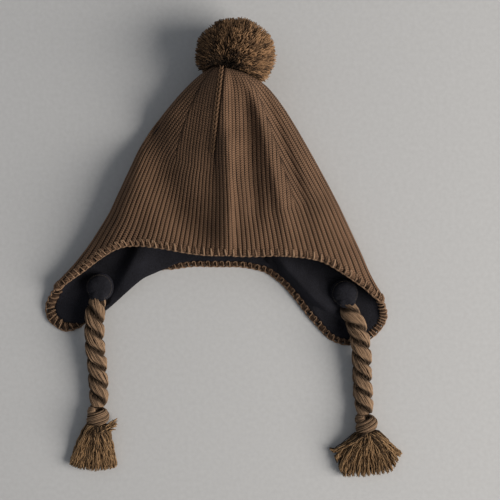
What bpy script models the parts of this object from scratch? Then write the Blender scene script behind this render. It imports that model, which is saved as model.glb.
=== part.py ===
# Knitted winter hat with ear flaps, a fleece lining, a yarn ball on its tip and two twisted ties.
# It lies on its back on a flat surface at z = 0, with the brow side up and the opening towards -Y.
# Metres, +X to the right and +Y towards the yarn ball as seen from above.
# The origin is the middle of the hat's footprint, ties left out.

import math
import random
from collections import namedtuple

import bmesh
import bpy
from mathutils import Vector
from mathutils.bvhtree import BVHTree

# Fabric walls and the small gap that keeps the pieces apart
KNIT_WALL = 0.0026
LINING_WALL = 0.0016
CLEARANCE = 0.0003

# The lying hat: its two side folds fan out from a point inside the yarn ball
FAN_POINT_X = 0.0193
FAN_POINT_Y = 0.14995
HAT_REACH = 0.3315          # from the fan point to the lowest point of the longer ear flap
HAT_LOFT = 0.0450           # height of the lying crown at its middle
SIDE_FOLD_ROUND = 0.0160    # how far the side folds keep the fabric off the surface below
CREASE_WIDTH = 0.0100       # half width of an average soft fold on the brow side
CREASE_DEPTH = 0.0035       # depth of an average soft fold
LINING_FOLD_HEIGHT = 0.0040
SWELL_CORNER = 2.6          # exponents of the brow side's cross curve: how late it bends down
SWELL_SLOPE = 0.42          # towards the side folds, and how steeply it meets them
YOKE_REACH = 0.36           # where the close rows of the crown end, a share of HAT_REACH
ROUND_SHARE = 0.10          # share of the half width that bends round at each side fold

# Yarn parts
EDGE_YARN_DIAMETER = 0.0042
POMPOM_WIDTH = 0.0735
POMPOM_DEPTH = 0.0690
POMPOM_HEIGHT = 0.0700
POMPOM_ASIDE = 0.14         # middle of the ball beside and beyond the crown's tip, and above the
POMPOM_BEYOND = 0.16        # surface below, shares of its width, depth and height
POMPOM_RISE = 0.485
POMPOM_LOCK_ROOT = 0.87     # how far in the ball reaches between its locks
PARTING_DEPTH = 0.42        # the parting in the yarn above the crown's tip, a share of the radius
PARTING_ANGLE = 34.0        # half angle of the parting in degrees
PARTING_DIRECTION = (-0.30, -0.62, 0.72)
PATCH_DIAMETER = 0.0260
PATCH_WALL = 0.0015
TIE_DIAMETER = 0.0175
TIE_ROOT_DIAMETER = 0.0100
TIE_ROOT_END = 0.23         # where the slim root ends and where the tie is full, shares of its length
TIE_FULL_START = 0.39
TIE_NECK_START = 0.92       # where the knot begins to draw the tie in
TIE_NECK = 0.75             # diameter at the knot, a share of TIE_DIAMETER
KNOT_WIDTH = 0.0210
KNOT_LENGTH = 0.0180
TASSEL_THICKNESS = 0.0170
LEFT_TASSEL_LENGTH = 0.0430
LEFT_TASSEL_WIDTH = 0.0430
LEFT_TASSEL_LEAN = 0.06     # how far the loose ends drift to the left, a share of the width
RIGHT_TASSEL_LENGTH = 0.0400
RIGHT_TASSEL_WIDTH = 0.0670
RIGHT_TASSEL_LEAN = 0.09

# Mesh steps
ROUND_STEPS = 4
FRONT_STEPS = 26
BACK_STEPS = 20
CROWN_ROWS = 9
CROWN_ROW_GROWTH = 1.7      # how fast the crown's rows widen from the tip
SKIRT_ROWS = 8
LINING_FIRST_ROW = 7

# Cross-sections of the lying crown. reach: distance from the fan point, a share of HAT_REACH.
# left, right: directions of the side folds in degrees from -Y. top, fold, under: heights of the
# brow side, the side folds and the underside, shares of HAT_LOFT.
Section = namedtuple("Section", "reach left right top fold under")
SECTIONS = (
    Section(0.134, -14.0, -14.0, 1.00, 1.00, 1.00),
    Section(0.139, -21.0, -2.0, 1.12, 0.90, 0.74),
    Section(0.148, -27.0, 9.0, 1.19, 0.80, 0.56),
    Section(0.162, -31.5, 17.0, 1.22, 0.67, 0.38),
    Section(0.180, -34.8, 22.6, 1.20, 0.56, 0.22),
    Section(0.205, -37.2, 26.6, 1.14, 0.45, 0.10),
    Section(0.245, -38.8, 29.0, 1.06, 0.36, 0.02),
    Section(0.290, -39.3, 30.0, 1.01, 0.32, 0.00),
    Section(0.355, -39.4, 30.3, 0.98, 0.29, 0.00),
    Section(0.425, -38.6, 30.2, 0.98, 0.28, 0.00),
    Section(0.500, -36.7, 30.0, 1.00, 0.28, 0.00),
    Section(0.575, -35.2, 29.7, 1.00, 0.28, 0.00),
    Section(0.650, -34.1, 29.2, 0.98, 0.28, 0.00),
    Section(0.736, -33.9, 28.7, 0.92, 0.28, 0.00),
    Section(0.807, -34.2, 28.3, 0.82, 0.27, 0.00),
    Section(0.886, -35.0, 28.5, 0.66, 0.25, 0.00),
    Section(0.950, -35.5, 28.6, 0.45, 0.18, 0.00),
    Section(1.000, -35.4, 28.5, 0.30, 0.12, 0.00),
)

# Where the knit ends. across: -1 at the left side fold, +1 at the right one.
# reach: share of HAT_REACH. The brow edge is on top, the nape edge with both flaps below.
RimPoint = namedtuple("RimPoint", "across reach")
BROW_EDGE = (
    RimPoint(-1.00, 0.893),
    RimPoint(-0.96, 0.835),
    RimPoint(-0.90, 0.757),
    RimPoint(-0.84, 0.716),
    RimPoint(-0.75, 0.684),
    RimPoint(-0.63, 0.664),
    RimPoint(-0.42, 0.649),
    RimPoint(-0.02, 0.641),
    RimPoint(0.35, 0.648),
    RimPoint(0.55, 0.666),
    RimPoint(0.72, 0.699),
    RimPoint(0.84, 0.752),
    RimPoint(0.94, 0.815),
    RimPoint(1.00, 0.873),
)
NAPE_EDGE = (
    RimPoint(-1.00, 0.893),
    RimPoint(-0.95, 0.963),
    RimPoint(-0.90, 0.985),
    RimPoint(-0.84, 0.988),
    RimPoint(-0.77, 0.962),
    RimPoint(-0.70, 0.892),
    RimPoint(-0.64, 0.812),
    RimPoint(-0.57, 0.752),
    RimPoint(-0.45, 0.715),
    RimPoint(-0.20, 0.680),
    RimPoint(0.07, 0.673),
    RimPoint(0.28, 0.690),
    RimPoint(0.40, 0.728),
    RimPoint(0.50, 0.788),
    RimPoint(0.58, 0.865),
    RimPoint(0.65, 0.927),
    RimPoint(0.73, 0.953),
    RimPoint(0.83, 0.957),
    RimPoint(0.90, 0.945),
    RimPoint(0.96, 0.921),
    RimPoint(1.00, 0.873),
)

# Soft folds of the brow side. Each runs from its upper to its lower end, reach and across as above.
# width: share of CREASE_WIDTH. depth: share of CREASE_DEPTH, valleys positive, ridges negative.
Crease = namedtuple("Crease", "upper_reach upper_across lower_reach lower_across width depth")
CREASES = (
    Crease(0.125, -0.24, 0.60, -0.02, 0.85, 1.10),
    Crease(0.170, 0.05, 0.66, 0.15, 1.10, -0.75),
    Crease(0.190, 0.36, 0.64, 0.26, 0.90, 0.60),
    Crease(0.180, 0.50, 0.62, 0.60, 0.90, -0.50),
    Crease(0.170, 0.71, 0.70, 0.66, 0.90, 0.95),
    Crease(0.170, -0.82, 0.40, -0.66, 0.90, 0.75),
    Crease(0.250, -0.34, 0.66, -0.22, 2.00, 0.90),
    Crease(0.350, -0.58, 0.74, -0.55, 1.80, -0.70),
)

# Folds of the fleece on the nape side, which lift it off the knit; same columns, heights as
# shares of LINING_FOLD_HEIGHT
LINING_FOLDS = (
    Crease(0.560, -0.62, 0.81, -0.63, 0.80, 1.00),
    Crease(0.560, 0.22, 0.90, 0.63, 0.80, 0.90),
)

# The patches that hold the ties, on the fleece of the flaps
LEFT_PATCH_ACROSS = -0.785
LEFT_PATCH_REACH = 0.835
RIGHT_PATCH_ACROSS = 0.80
RIGHT_PATCH_REACH = 0.817

# Routes of the ties' centre lines: offsets from the middle of each patch, up from the surface
# that the hat lies on
LEFT_TIE_ROUTE = (
    (0.0015, 0.0020, 0.0101),
    (0.0004, -0.0045, 0.0101),
    (-0.0010, -0.0105, 0.0103),
    (-0.0025, -0.0165, 0.0118),
    (-0.0036, -0.0240, 0.0139),
    (-0.0043, -0.0340, 0.0144),
    (-0.0044, -0.0450, 0.0142),
    (-0.0036, -0.0580, 0.0125),
    (-0.0024, -0.0730, 0.0099),
    (-0.0014, -0.0880, 0.0089),
    (-0.0010, -0.1010, 0.0088),
    (-0.0014, -0.1120, 0.0090),
)
RIGHT_TIE_ROUTE = (
    (-0.0020, 0.0030, 0.0101),
    (-0.0008, -0.0035, 0.0101),
    (0.0012, -0.0100, 0.0103),
    (0.0040, -0.0160, 0.0118),
    (0.0078, -0.0235, 0.0139),
    (0.0112, -0.0320, 0.0144),
    (0.0138, -0.0430, 0.0144),
    (0.0155, -0.0550, 0.0135),
    (0.0165, -0.0690, 0.0110),
    (0.0170, -0.0840, 0.0091),
    (0.0180, -0.0990, 0.0088),
    (0.0194, -0.1130, 0.0090),
)
TIE_POINTS = 14
PATCH_RINGS = 5
PATCH_SIDES = 20

# The loose ends below a knot: along is the share of the length, width and thickness are shares
# of the tassel's full width and of its thickness at the head
TasselRow = namedtuple("TasselRow", "along width thickness")
TASSEL_ROWS = (
    TasselRow(0.00, 0.34, 0.72),
    TasselRow(0.12, 0.44, 0.96),
    TasselRow(0.35, 0.62, 1.00),
    TasselRow(0.65, 0.84, 0.86),
    TasselRow(0.90, 0.98, 0.66),
)
TASSEL_LOCKS = 9

KNIT_COLOUR = (0.083, 0.052, 0.032)
YARN_COLOUR = (0.105, 0.068, 0.040)
STITCH_COLOUR = (0.170, 0.105, 0.065)
FLEECE_COLOUR = (0.012, 0.012, 0.017)


def clear_scene():
    for old in list(bpy.data.objects):
        bpy.data.objects.remove(old, do_unlink=True)


def make_collection(name):
    collection = bpy.data.collections.new(name)
    bpy.context.scene.collection.children.link(collection)
    return collection


def make_material(name, colour, roughness):
    material = bpy.data.materials.new(name)
    material.use_nodes = True
    shader = material.node_tree.nodes["Principled BSDF"]
    shader.inputs["Base Color"].default_value = (*colour, 1.0)
    shader.inputs["Roughness"].default_value = roughness
    shader.inputs["Metallic"].default_value = 0.0
    return material


def add_object(name, data, collection, material):
    piece = bpy.data.objects.new(name, data)
    data.materials.append(material)
    collection.objects.link(piece)
    return piece


def mesh_from(name, shape):
    mesh = bpy.data.meshes.new(name)
    shape.to_mesh(mesh)
    shape.free()
    mesh.shade_smooth()
    mesh.set_sharp_from_angle(angle=math.radians(60))
    return mesh


# Slope of a table's column at one row, so that the curve through the rows never overshoots
def table_slope(rows, index, key, column):
    if index == 0 or index == len(rows) - 1:
        return 0.0
    before, here, after = rows[index - 1], rows[index], rows[index + 1]
    step_in = getattr(here, key) - getattr(before, key)
    step_out = getattr(after, key) - getattr(here, key)
    slope_in = (getattr(here, column) - getattr(before, column)) / step_in
    slope_out = (getattr(after, column) - getattr(here, column)) / step_out
    if slope_in * slope_out <= 0:
        return 0.0
    weight_in = 2 * step_out + step_in
    weight_out = step_out + 2 * step_in
    return (weight_in + weight_out) / (weight_in / slope_in + weight_out / slope_out)


# A table's column read at any place between its rows
def read_table(rows, key, place, column):
    if place <= getattr(rows[0], key):
        return getattr(rows[0], column)
    if place >= getattr(rows[-1], key):
        return getattr(rows[-1], column)
    index = max(i for i, row in enumerate(rows) if getattr(row, key) <= place)
    low, high = rows[index], rows[index + 1]
    span = getattr(high, key) - getattr(low, key)
    t = (place - getattr(low, key)) / span
    rise_low = table_slope(rows, index, key, column) * span
    rise_high = table_slope(rows, index + 1, key, column) * span
    value_low, value_high = getattr(low, column), getattr(high, column)
    return (
        (1 + 2 * t) * (1 - t) ** 2 * value_low
        + t * (1 - t) ** 2 * rise_low
        + t * t * (3 - 2 * t) * value_high
        + t * t * (t - 1) * rise_high
    )


def ease(value):
    value = min(1.0, max(0.0, value))
    return value * value * (3 - 2 * value)


def half_width_at(reach):
    left = read_table(SECTIONS, "reach", reach, "left")
    right = read_table(SECTIONS, "reach", reach, "right")
    return reach * HAT_REACH * math.radians(right - left) / 2


# Sum of the folds of a table at one place, as a share of their average depth
def crease_sum(creases, across, reach):
    total = 0.0
    half_width = max(half_width_at(reach), CREASE_WIDTH)
    for crease in creases:
        length = crease.lower_reach - crease.upper_reach
        t = (reach - crease.upper_reach) / length
        drift = (crease.lower_across - crease.upper_across) * min(1.0, max(0.0, t))
        centre = crease.upper_across + drift
        aside = (across - centre) * half_width / (CREASE_WIDTH * crease.width)
        fade = ease(t * 5 + 0.5) * ease((1 - t) * 3)
        total += crease.depth * fade * math.exp(-aside * aside)
    return total


# A point of the knit's outer face. front is True on the brow side.
def hat_point(front, across, reach):
    left = read_table(SECTIONS, "reach", reach, "left")
    right = read_table(SECTIONS, "reach", reach, "right")
    fold = read_table(SECTIONS, "reach", reach, "fold") * HAT_LOFT
    turn = math.radians(left + (across + 1) / 2 * (right - left))
    x = FAN_POINT_X + reach * HAT_REACH * math.sin(turn)
    y = FAN_POINT_Y - reach * HAT_REACH * math.cos(turn)
    if front:
        top = read_table(SECTIONS, "reach", reach, "top") * HAT_LOFT
        swell = max(0.0, 1 - abs(across) ** SWELL_CORNER) ** SWELL_SLOPE
        z = fold + (top - fold) * swell
        z -= CREASE_DEPTH * crease_sum(CREASES, across, reach) * min(1.0, 2.5 * swell)
    else:
        under = read_table(SECTIONS, "reach", reach, "under") * HAT_LOFT
        half_width = half_width_at(reach)
        round_width = max(min(SIDE_FOLD_ROUND, 0.9 * half_width), 1e-6)
        turned = max(0.0, 1 - (1 - abs(across)) * half_width / round_width)
        z = under + (fold - under) * (1 - math.sqrt(max(0.0, 1 - turned * turned)))
    return Vector((x, y, z))


# Places around the crown, from the left side fold over the brow side and back along the nape
def around_places():
    turns = [math.pi / 2 * k / ROUND_STEPS for k in range(ROUND_STEPS)]
    bends = [1 - ROUND_SHARE * (1 - math.cos(turn)) for turn in turns]
    edge = 1 - ROUND_SHARE
    places = [(True, -bend) for bend in bends]
    places += [(True, -edge + 2 * edge * k / FRONT_STEPS) for k in range(FRONT_STEPS + 1)]
    places += [(True, bend) for bend in reversed(bends[1:])]
    places += [(False, bend) for bend in bends]
    spread = [1 - 2 * k / BACK_STEPS for k in range(BACK_STEPS + 1)]
    places += [(False, edge * (share + math.sin(math.pi / 2 * share)) / 2) for share in spread]
    places += [(False, -bend) for bend in reversed(bends[1:])]
    return places


# Reach of every row of points on one line from the tip to the rim
def row_reaches(front, across):
    tip = SECTIONS[0].reach
    rim = read_table(BROW_EDGE if front else NAPE_EDGE, "across", across, "reach")
    shares = [(k / CROWN_ROWS) ** CROWN_ROW_GROWTH for k in range(1, CROWN_ROWS + 1)]
    crown = [tip + (YOKE_REACH - tip) * share for share in shares]
    skirt = [YOKE_REACH + (rim - YOKE_REACH) * k / SKIRT_ROWS for k in range(1, SKIRT_ROWS + 1)]
    return crown + skirt


# The knit's outer face as an open surface, closed at the tip; also gives its rows of points
def make_hat_surface():
    shape = bmesh.new()
    places = around_places()
    columns = [[hat_point(front, across, reach) for reach in row_reaches(front, across)]
               for front, across in places]
    rows = [[shape.verts.new(column[row]) for column in columns] for row in range(len(columns[0]))]
    tip = shape.verts.new(hat_point(True, 0.0, SECTIONS[0].reach))
    count = len(places)
    for i in range(count):
        shape.faces.new((tip, rows[0][i], rows[0][(i + 1) % count]))
    for upper, lower in zip(rows, rows[1:]):
        for i in range(count):
            j = (i + 1) % count
            shape.faces.new((upper[i], lower[i], lower[j]))
            shape.faces.new((upper[i], lower[j], upper[j]))
    shape.normal_update()
    return shape, rows


# Moves every point of a surface inwards so that its faces stay parallel to where they were
def sink_surface(shape, depth):
    moves = [(vert, vert.normal * vert.calc_shell_factor() * depth) for vert in shape.verts]
    for vert, move in moves:
        vert.co -= move
    shape.normal_update()


def add_wall(piece, thickness):
    wall = piece.modifiers.new("wall", "SOLIDIFY")
    wall.thickness = thickness
    wall.offset = -1.0
    wall.use_even_offset = True


def make_knit_shell(collection):
    shape, _ = make_hat_surface()
    material = make_material("brown_rib_knit", KNIT_COLOUR, 0.95)
    piece = add_object("knit_shell", mesh_from("knit_shell", shape), collection, material)
    add_wall(piece, KNIT_WALL)
    return piece


# The fleece follows the knit's inner face, lifted a little where it folds on the nape side
def make_lining(collection):
    shape, rows = make_hat_surface()
    sink_surface(shape, KNIT_WALL + CLEARANCE)
    places = around_places()
    for index, (front, across) in enumerate(places):
        if front:
            continue
        for row, reach in enumerate(row_reaches(front, across)):
            lift = LINING_FOLD_HEIGHT * crease_sum(LINING_FOLDS, across, reach)
            rows[row][index].co.z += lift
    hidden = [vert for row in rows[:LINING_FIRST_ROW] for vert in row]
    tip = [vert for vert in shape.verts if len(vert.link_edges) == len(places)]
    bmesh.ops.delete(shape, geom=hidden + tip, context="VERTS")
    material = make_material("navy_fleece", FLEECE_COLOUR, 0.97)
    piece = add_object("lining", mesh_from("lining", shape), collection, material)
    add_wall(piece, LINING_WALL)
    return piece


# The stitched yarn ridge runs round the whole rim, just outside the two fabric edges
def make_edge_stitching(collection):
    shape, rows = make_hat_surface()
    layers = KNIT_WALL + CLEARANCE + LINING_WALL
    radius = EDGE_YARN_DIAMETER / 2
    rim, inner = rows[-1], rows[-2]
    count = len(rim)
    points = []
    for i in range(count):
        along = (rim[(i + 1) % count].co - rim[i - 1].co).normalized()
        normal = rim[i].normal
        outward = rim[i].co - inner[i].co
        outward -= along * outward.dot(along)
        outward -= normal * outward.dot(normal)
        centre = rim[i].co - normal * (layers / 2) + outward.normalized() * (radius + CLEARANCE * 1.5)
        centre.z = max(centre.z, radius)
        points.append(centre)
    shape.free()
    curve = bpy.data.curves.new("edge_stitching", "CURVE")
    curve.dimensions = "3D"
    curve.bevel_depth = radius
    curve.bevel_resolution = 1
    spline = curve.splines.new("POLY")
    spline.points.add(count - 1)
    for point, place in zip(spline.points, points):
        point.co = (*place, 1.0)
    spline.use_cyclic_u = True
    material = make_material("brown_edge_yarn", STITCH_COLOUR, 0.9)
    return add_object("edge_stitching", curve, collection, material)


# The yarn ball: a ball of short locks, parted where the crown's tip is sewn into it
def make_pompom(collection, cutters):
    crown, _ = make_hat_surface()
    crown_tree = BVHTree.FromBMesh(crown)
    crown.free()
    tip = hat_point(True, 0.0, SECTIONS[0].reach)
    centre = tip + Vector((POMPOM_ASIDE * POMPOM_WIDTH, POMPOM_BEYOND * POMPOM_DEPTH, 0.0))
    centre.z = POMPOM_RISE * POMPOM_HEIGHT
    half = Vector((POMPOM_WIDTH, POMPOM_DEPTH, POMPOM_HEIGHT)) / 2
    parting = Vector(PARTING_DIRECTION).normalized()
    chance = random.Random(5)

    shape = bmesh.new()
    bmesh.ops.create_icosphere(shape, subdivisions=3, radius=1.0)
    shape.verts.ensure_lookup_table()
    roots = len(shape.verts)
    bmesh.ops.poke(shape, faces=shape.faces[:])
    shape.verts.ensure_lookup_table()
    for index, vert in enumerate(shape.verts):
        direction = vert.co.normalized()
        length = POMPOM_LOCK_ROOT if index < roots else chance.uniform(0.95, 1.0)
        apart = direction.angle(parting) / math.radians(PARTING_ANGLE)
        length *= 1 - PARTING_DEPTH * math.exp(-apart ** 4)
        offset = Vector((direction.x * half.x, direction.y * half.y, direction.z * half.z)) * length
        hit = crown_tree.ray_cast(centre, offset.normalized(), offset.length + 4 * CLEARANCE)
        if hit[0] is not None:
            offset = offset.normalized() * max(hit[3] - 3 * CLEARANCE, 0.2 * half.x)
        vert.co = centre + offset
        vert.co.z = max(vert.co.z, 0.0)
    shape.normal_update()
    material = make_material("brown_pompom_yarn", YARN_COLOUR, 0.95)
    piece = add_object("pompom", mesh_from("pompom", shape), collection, material)
    cut = piece.modifiers.new("seat_of_the_crown", "BOOLEAN")
    cut.operation = "DIFFERENCE"
    cut.solver = "EXACT"
    cut.object = make_crown_cutter(cutters)
    return piece


# The crown's tip with its clearance, as a closed body
def make_crown_cutter(cutters):
    shape, rows = make_hat_surface()
    sink_surface(shape, -1.5 * CLEARANCE)
    spare = [vert for row in rows[CROWN_ROWS:] for vert in row]
    bmesh.ops.delete(shape, geom=spare, context="VERTS")
    rim = [edge for edge in shape.edges if edge.is_boundary]
    bmesh.ops.contextual_create(shape, geom=rim)
    mesh = bpy.data.meshes.new("crown_cutter")
    shape.to_mesh(mesh)
    shape.free()
    cutter = bpy.data.objects.new("crown_cutter", mesh)
    cutter.hide_render = True
    cutter.display_type = "WIRE"
    cutters.objects.link(cutter)
    return cutter


# Middle of a patch, on top of the fleece of the nape side
def patch_place(across, reach):
    place = hat_point(False, across, reach)
    place.z = KNIT_WALL + LINING_WALL + 2 * CLEARANCE
    return place


# Height of a patch's outer face at x, y from its middle: a dome that opens to an arch round the tie
def patch_height(x, y, route):
    radius = PATCH_DIAMETER / 2
    start, later = Vector(route[1]).xy, Vector(route[3]).xy
    exit_way = (later - start).normalized()
    outward = x * exit_way.x + y * exit_way.y
    aside = x * exit_way.y - y * exit_way.x
    root_aside = start.x * exit_way.y - start.y * exit_way.x
    dome = math.sqrt(1 - min(1.0, math.hypot(x, y) / radius) ** 3)
    arch_width = TIE_ROOT_DIAMETER / 2 + PATCH_WALL + 7 * CLEARANCE
    arch = math.sqrt(max(0.0, 1 - ((aside - root_aside) / arch_width) ** 4))
    arch *= ease(2 * outward / radius + 0.2)
    room = TIE_ROOT_DIAMETER + 4 * CLEARANCE
    return PATCH_WALL + room * max(dome, arch)


# A round of fleece drawn over the root of a tie and left open where the tie comes out
def make_tie_patch(name, place, route, collection):
    shape = bmesh.new()
    middle = shape.verts.new((place.x, place.y, place.z + patch_height(0.0, 0.0, route)))
    loops = []
    for ring in range(1, PATCH_RINGS + 1):
        radius = PATCH_DIAMETER / 2 * ring / PATCH_RINGS
        loop = []
        for side in range(PATCH_SIDES):
            angle = 2 * math.pi * side / PATCH_SIDES
            x = radius * math.cos(angle)
            y = radius * math.sin(angle)
            z = patch_height(x, y, route)
            loop.append(shape.verts.new((place.x + x, place.y + y, place.z + z)))
        loops.append(loop)
    for side in range(PATCH_SIDES):
        shape.faces.new((middle, loops[0][side], loops[0][(side + 1) % PATCH_SIDES]))
    for inner, outer in zip(loops, loops[1:]):
        for side in range(PATCH_SIDES):
            following = (side + 1) % PATCH_SIDES
            shape.faces.new((inner[side], outer[side], outer[following], inner[following]))
    material = make_material("navy_fleece_patch", FLEECE_COLOUR, 0.97)
    piece = add_object(name, mesh_from(name, shape), collection, material)
    wall = piece.modifiers.new("wall", "SOLIDIFY")
    wall.thickness = PATCH_WALL
    wall.offset = -1.0
    return piece


# A smooth curve through chosen points, read at even steps
def smooth_route(points, steps):
    places = [Vector(point) for point in points]
    last = len(places) - 1

    def at(share):
        spot = share * last
        index = min(int(spot), last - 1)
        t = spot - index
        before, low = places[max(index - 1, 0)], places[index]
        high, after = places[index + 1], places[min(index + 2, last)]
        return 0.5 * (
            2 * low
            + (high - before) * t
            + (2 * before - 5 * low + 4 * high - after) * t * t
            + (3 * low - before - 3 * high + after) * t ** 3
        )

    return [at(k / (steps - 1)) for k in range(steps)]


# A tie is one thick twisted cord, slimmer at its sewn root and where the knot grips it
def make_tie(name, place, route, collection):
    points = [Vector((place.x + x, place.y + y, z)) for x, y, z in smooth_route(route, TIE_POINTS)]
    curve = bpy.data.curves.new(name, "CURVE")
    curve.dimensions = "3D"
    curve.bevel_depth = TIE_DIAMETER / 2
    curve.bevel_resolution = 2
    curve.use_fill_caps = True
    spline = curve.splines.new("POLY")
    spline.points.add(TIE_POINTS - 1)
    root = TIE_ROOT_DIAMETER / TIE_DIAMETER
    for index, point in enumerate(points):
        share = index / (TIE_POINTS - 1)
        grown = ease((share - TIE_ROOT_END) / (TIE_FULL_START - TIE_ROOT_END))
        drawn_in = ease((share - TIE_NECK_START) / (1 - TIE_NECK_START))
        spline.points[index].co = (*point, 1.0)
        spline.points[index].radius = (root + (1 - root) * grown) * (1 - (1 - TIE_NECK) * drawn_in)
    material = make_material("brown_tie_yarn", YARN_COLOUR, 0.95)
    add_object(name, curve, collection, material)
    return points


# The knot is a tight round of the same yarn, with its windings as low swells
def make_knot(name, tie_points, collection):
    end = tie_points[-1]
    along = end - tie_points[-3]
    along.z = 0.0
    along.normalize()
    aside = Vector((along.y, -along.x, 0.0))
    middle = end + along * (KNOT_LENGTH / 2 + CLEARANCE)
    middle.z = KNOT_WIDTH / 2 * 0.9
    shape = bmesh.new()
    bmesh.ops.create_uvsphere(shape, u_segments=14, v_segments=9, radius=1.0)
    for vert in shape.verts:
        x, y, z = vert.co
        swell = 0.93 + 0.07 * math.cos(3 * math.atan2(y, x) + 4 * z)
        place = middle + aside * (x * swell * KNOT_WIDTH / 2) + along * (z * KNOT_LENGTH / 2)
        place.z = max(0.0, middle.z + y * swell * KNOT_WIDTH / 2)
        vert.co = place
    bmesh.ops.recalc_face_normals(shape, faces=shape.faces[:])
    material = make_material("brown_knot_yarn", YARN_COLOUR, 0.95)
    add_object(name, mesh_from(name, shape), collection, material)
    return middle + along * (KNOT_LENGTH / 2 + CLEARANCE), along


# The loose yarn ends fan out flat from the knot in locks of uneven length
def make_tassel(name, head, along, length, width, lean, seed, collection):
    aside = Vector((along.y, -along.x, 0.0))
    chance = random.Random(seed)
    sides = 2 * TASSEL_LOCKS
    shape = bmesh.new()
    rings = []
    tips = [1.0 - 0.10 * chance.random() if side % 2 == 0 else 0.80 for side in range(sides)]
    stations = [row.along for row in TASSEL_ROWS] + [1.0]
    for share in stations:
        spread = read_table(TASSEL_ROWS, "along", share, "width") * width / 2
        thick = read_table(TASSEL_ROWS, "along", share, "thickness") * TASSEL_THICKNESS / 2
        ring = []
        for side in range(sides):
            angle = 2 * math.pi * side / sides
            ripple = 1.0 if side % 2 == 0 else 1.0 - 0.22 * share
            reach = share if share < 1.0 else tips[side]
            place = head + along * (length * reach)
            place += aside * (spread * math.cos(angle) * ripple + lean * width * share * share)
            place.z = max(0.0, TASSEL_THICKNESS / 2 * (1 - 0.28 * share) + thick * math.sin(angle) * ripple)
            ring.append(shape.verts.new(place))
        rings.append(ring)
    cap = shape.verts.new((*head.xy, TASSEL_THICKNESS / 2))
    base = head + along * (length * 0.74) + aside * (lean * width * 0.55)
    base.z = TASSEL_THICKNESS * 0.34
    hollow = shape.verts.new(base)
    for side in range(sides):
        following = (side + 1) % sides
        shape.faces.new((cap, rings[0][side], rings[0][following]))
        shape.faces.new((hollow, rings[-1][following], rings[-1][side]))
        for upper, lower in zip(rings, rings[1:]):
            shape.faces.new((upper[side], lower[side], lower[following]))
            shape.faces.new((upper[side], lower[following], upper[following]))
    bmesh.ops.recalc_face_normals(shape, faces=shape.faces[:])
    material = make_material("brown_tassel_yarn", YARN_COLOUR, 0.95)
    return add_object(name, mesh_from(name, shape), collection, material)


def make_tie_set(side, place, route, tassel, seed, collection):
    make_tie_patch("tie_patch_" + side, place, route, collection)
    points = make_tie("tie_" + side, place, route, collection)
    head, along = make_knot("tie_knot_" + side, points, collection)
    length, width, lean = tassel
    make_tassel("tassel_" + side, head, along, length, width, lean, seed, collection)


def main():
    clear_scene()
    hat = make_collection("ear_flap_beanie")
    make_knit_shell(hat)
    make_lining(hat)
    make_edge_stitching(hat)
    make_pompom(hat, make_collection("cutters"))
    left_place = patch_place(LEFT_PATCH_ACROSS, LEFT_PATCH_REACH)
    right_place = patch_place(RIGHT_PATCH_ACROSS, RIGHT_PATCH_REACH)
    left_tassel = (LEFT_TASSEL_LENGTH, LEFT_TASSEL_WIDTH, LEFT_TASSEL_LEAN)
    right_tassel = (RIGHT_TASSEL_LENGTH, RIGHT_TASSEL_WIDTH, RIGHT_TASSEL_LEAN)
    make_tie_set("left", left_place, LEFT_TIE_ROUTE, left_tassel, 3, hat)
    make_tie_set("right", right_place, RIGHT_TIE_ROUTE, right_tassel, 8, hat)


main()
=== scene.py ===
import math

import bpy
import numpy as np
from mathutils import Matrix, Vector


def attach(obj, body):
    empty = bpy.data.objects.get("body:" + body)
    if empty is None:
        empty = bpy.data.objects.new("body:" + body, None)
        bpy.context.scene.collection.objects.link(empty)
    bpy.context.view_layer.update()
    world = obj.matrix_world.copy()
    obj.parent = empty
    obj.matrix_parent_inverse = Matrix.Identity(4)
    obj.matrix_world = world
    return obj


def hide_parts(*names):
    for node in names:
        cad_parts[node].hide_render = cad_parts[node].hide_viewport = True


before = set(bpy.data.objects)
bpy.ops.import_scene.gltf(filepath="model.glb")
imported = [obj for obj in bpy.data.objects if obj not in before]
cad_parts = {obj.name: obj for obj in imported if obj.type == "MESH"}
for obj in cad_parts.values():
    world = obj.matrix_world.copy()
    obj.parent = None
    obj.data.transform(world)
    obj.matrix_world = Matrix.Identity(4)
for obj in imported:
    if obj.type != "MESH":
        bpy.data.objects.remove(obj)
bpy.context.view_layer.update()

mm = 0.001
upZ = np.array([0.0, 0.0, 1.0])

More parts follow.
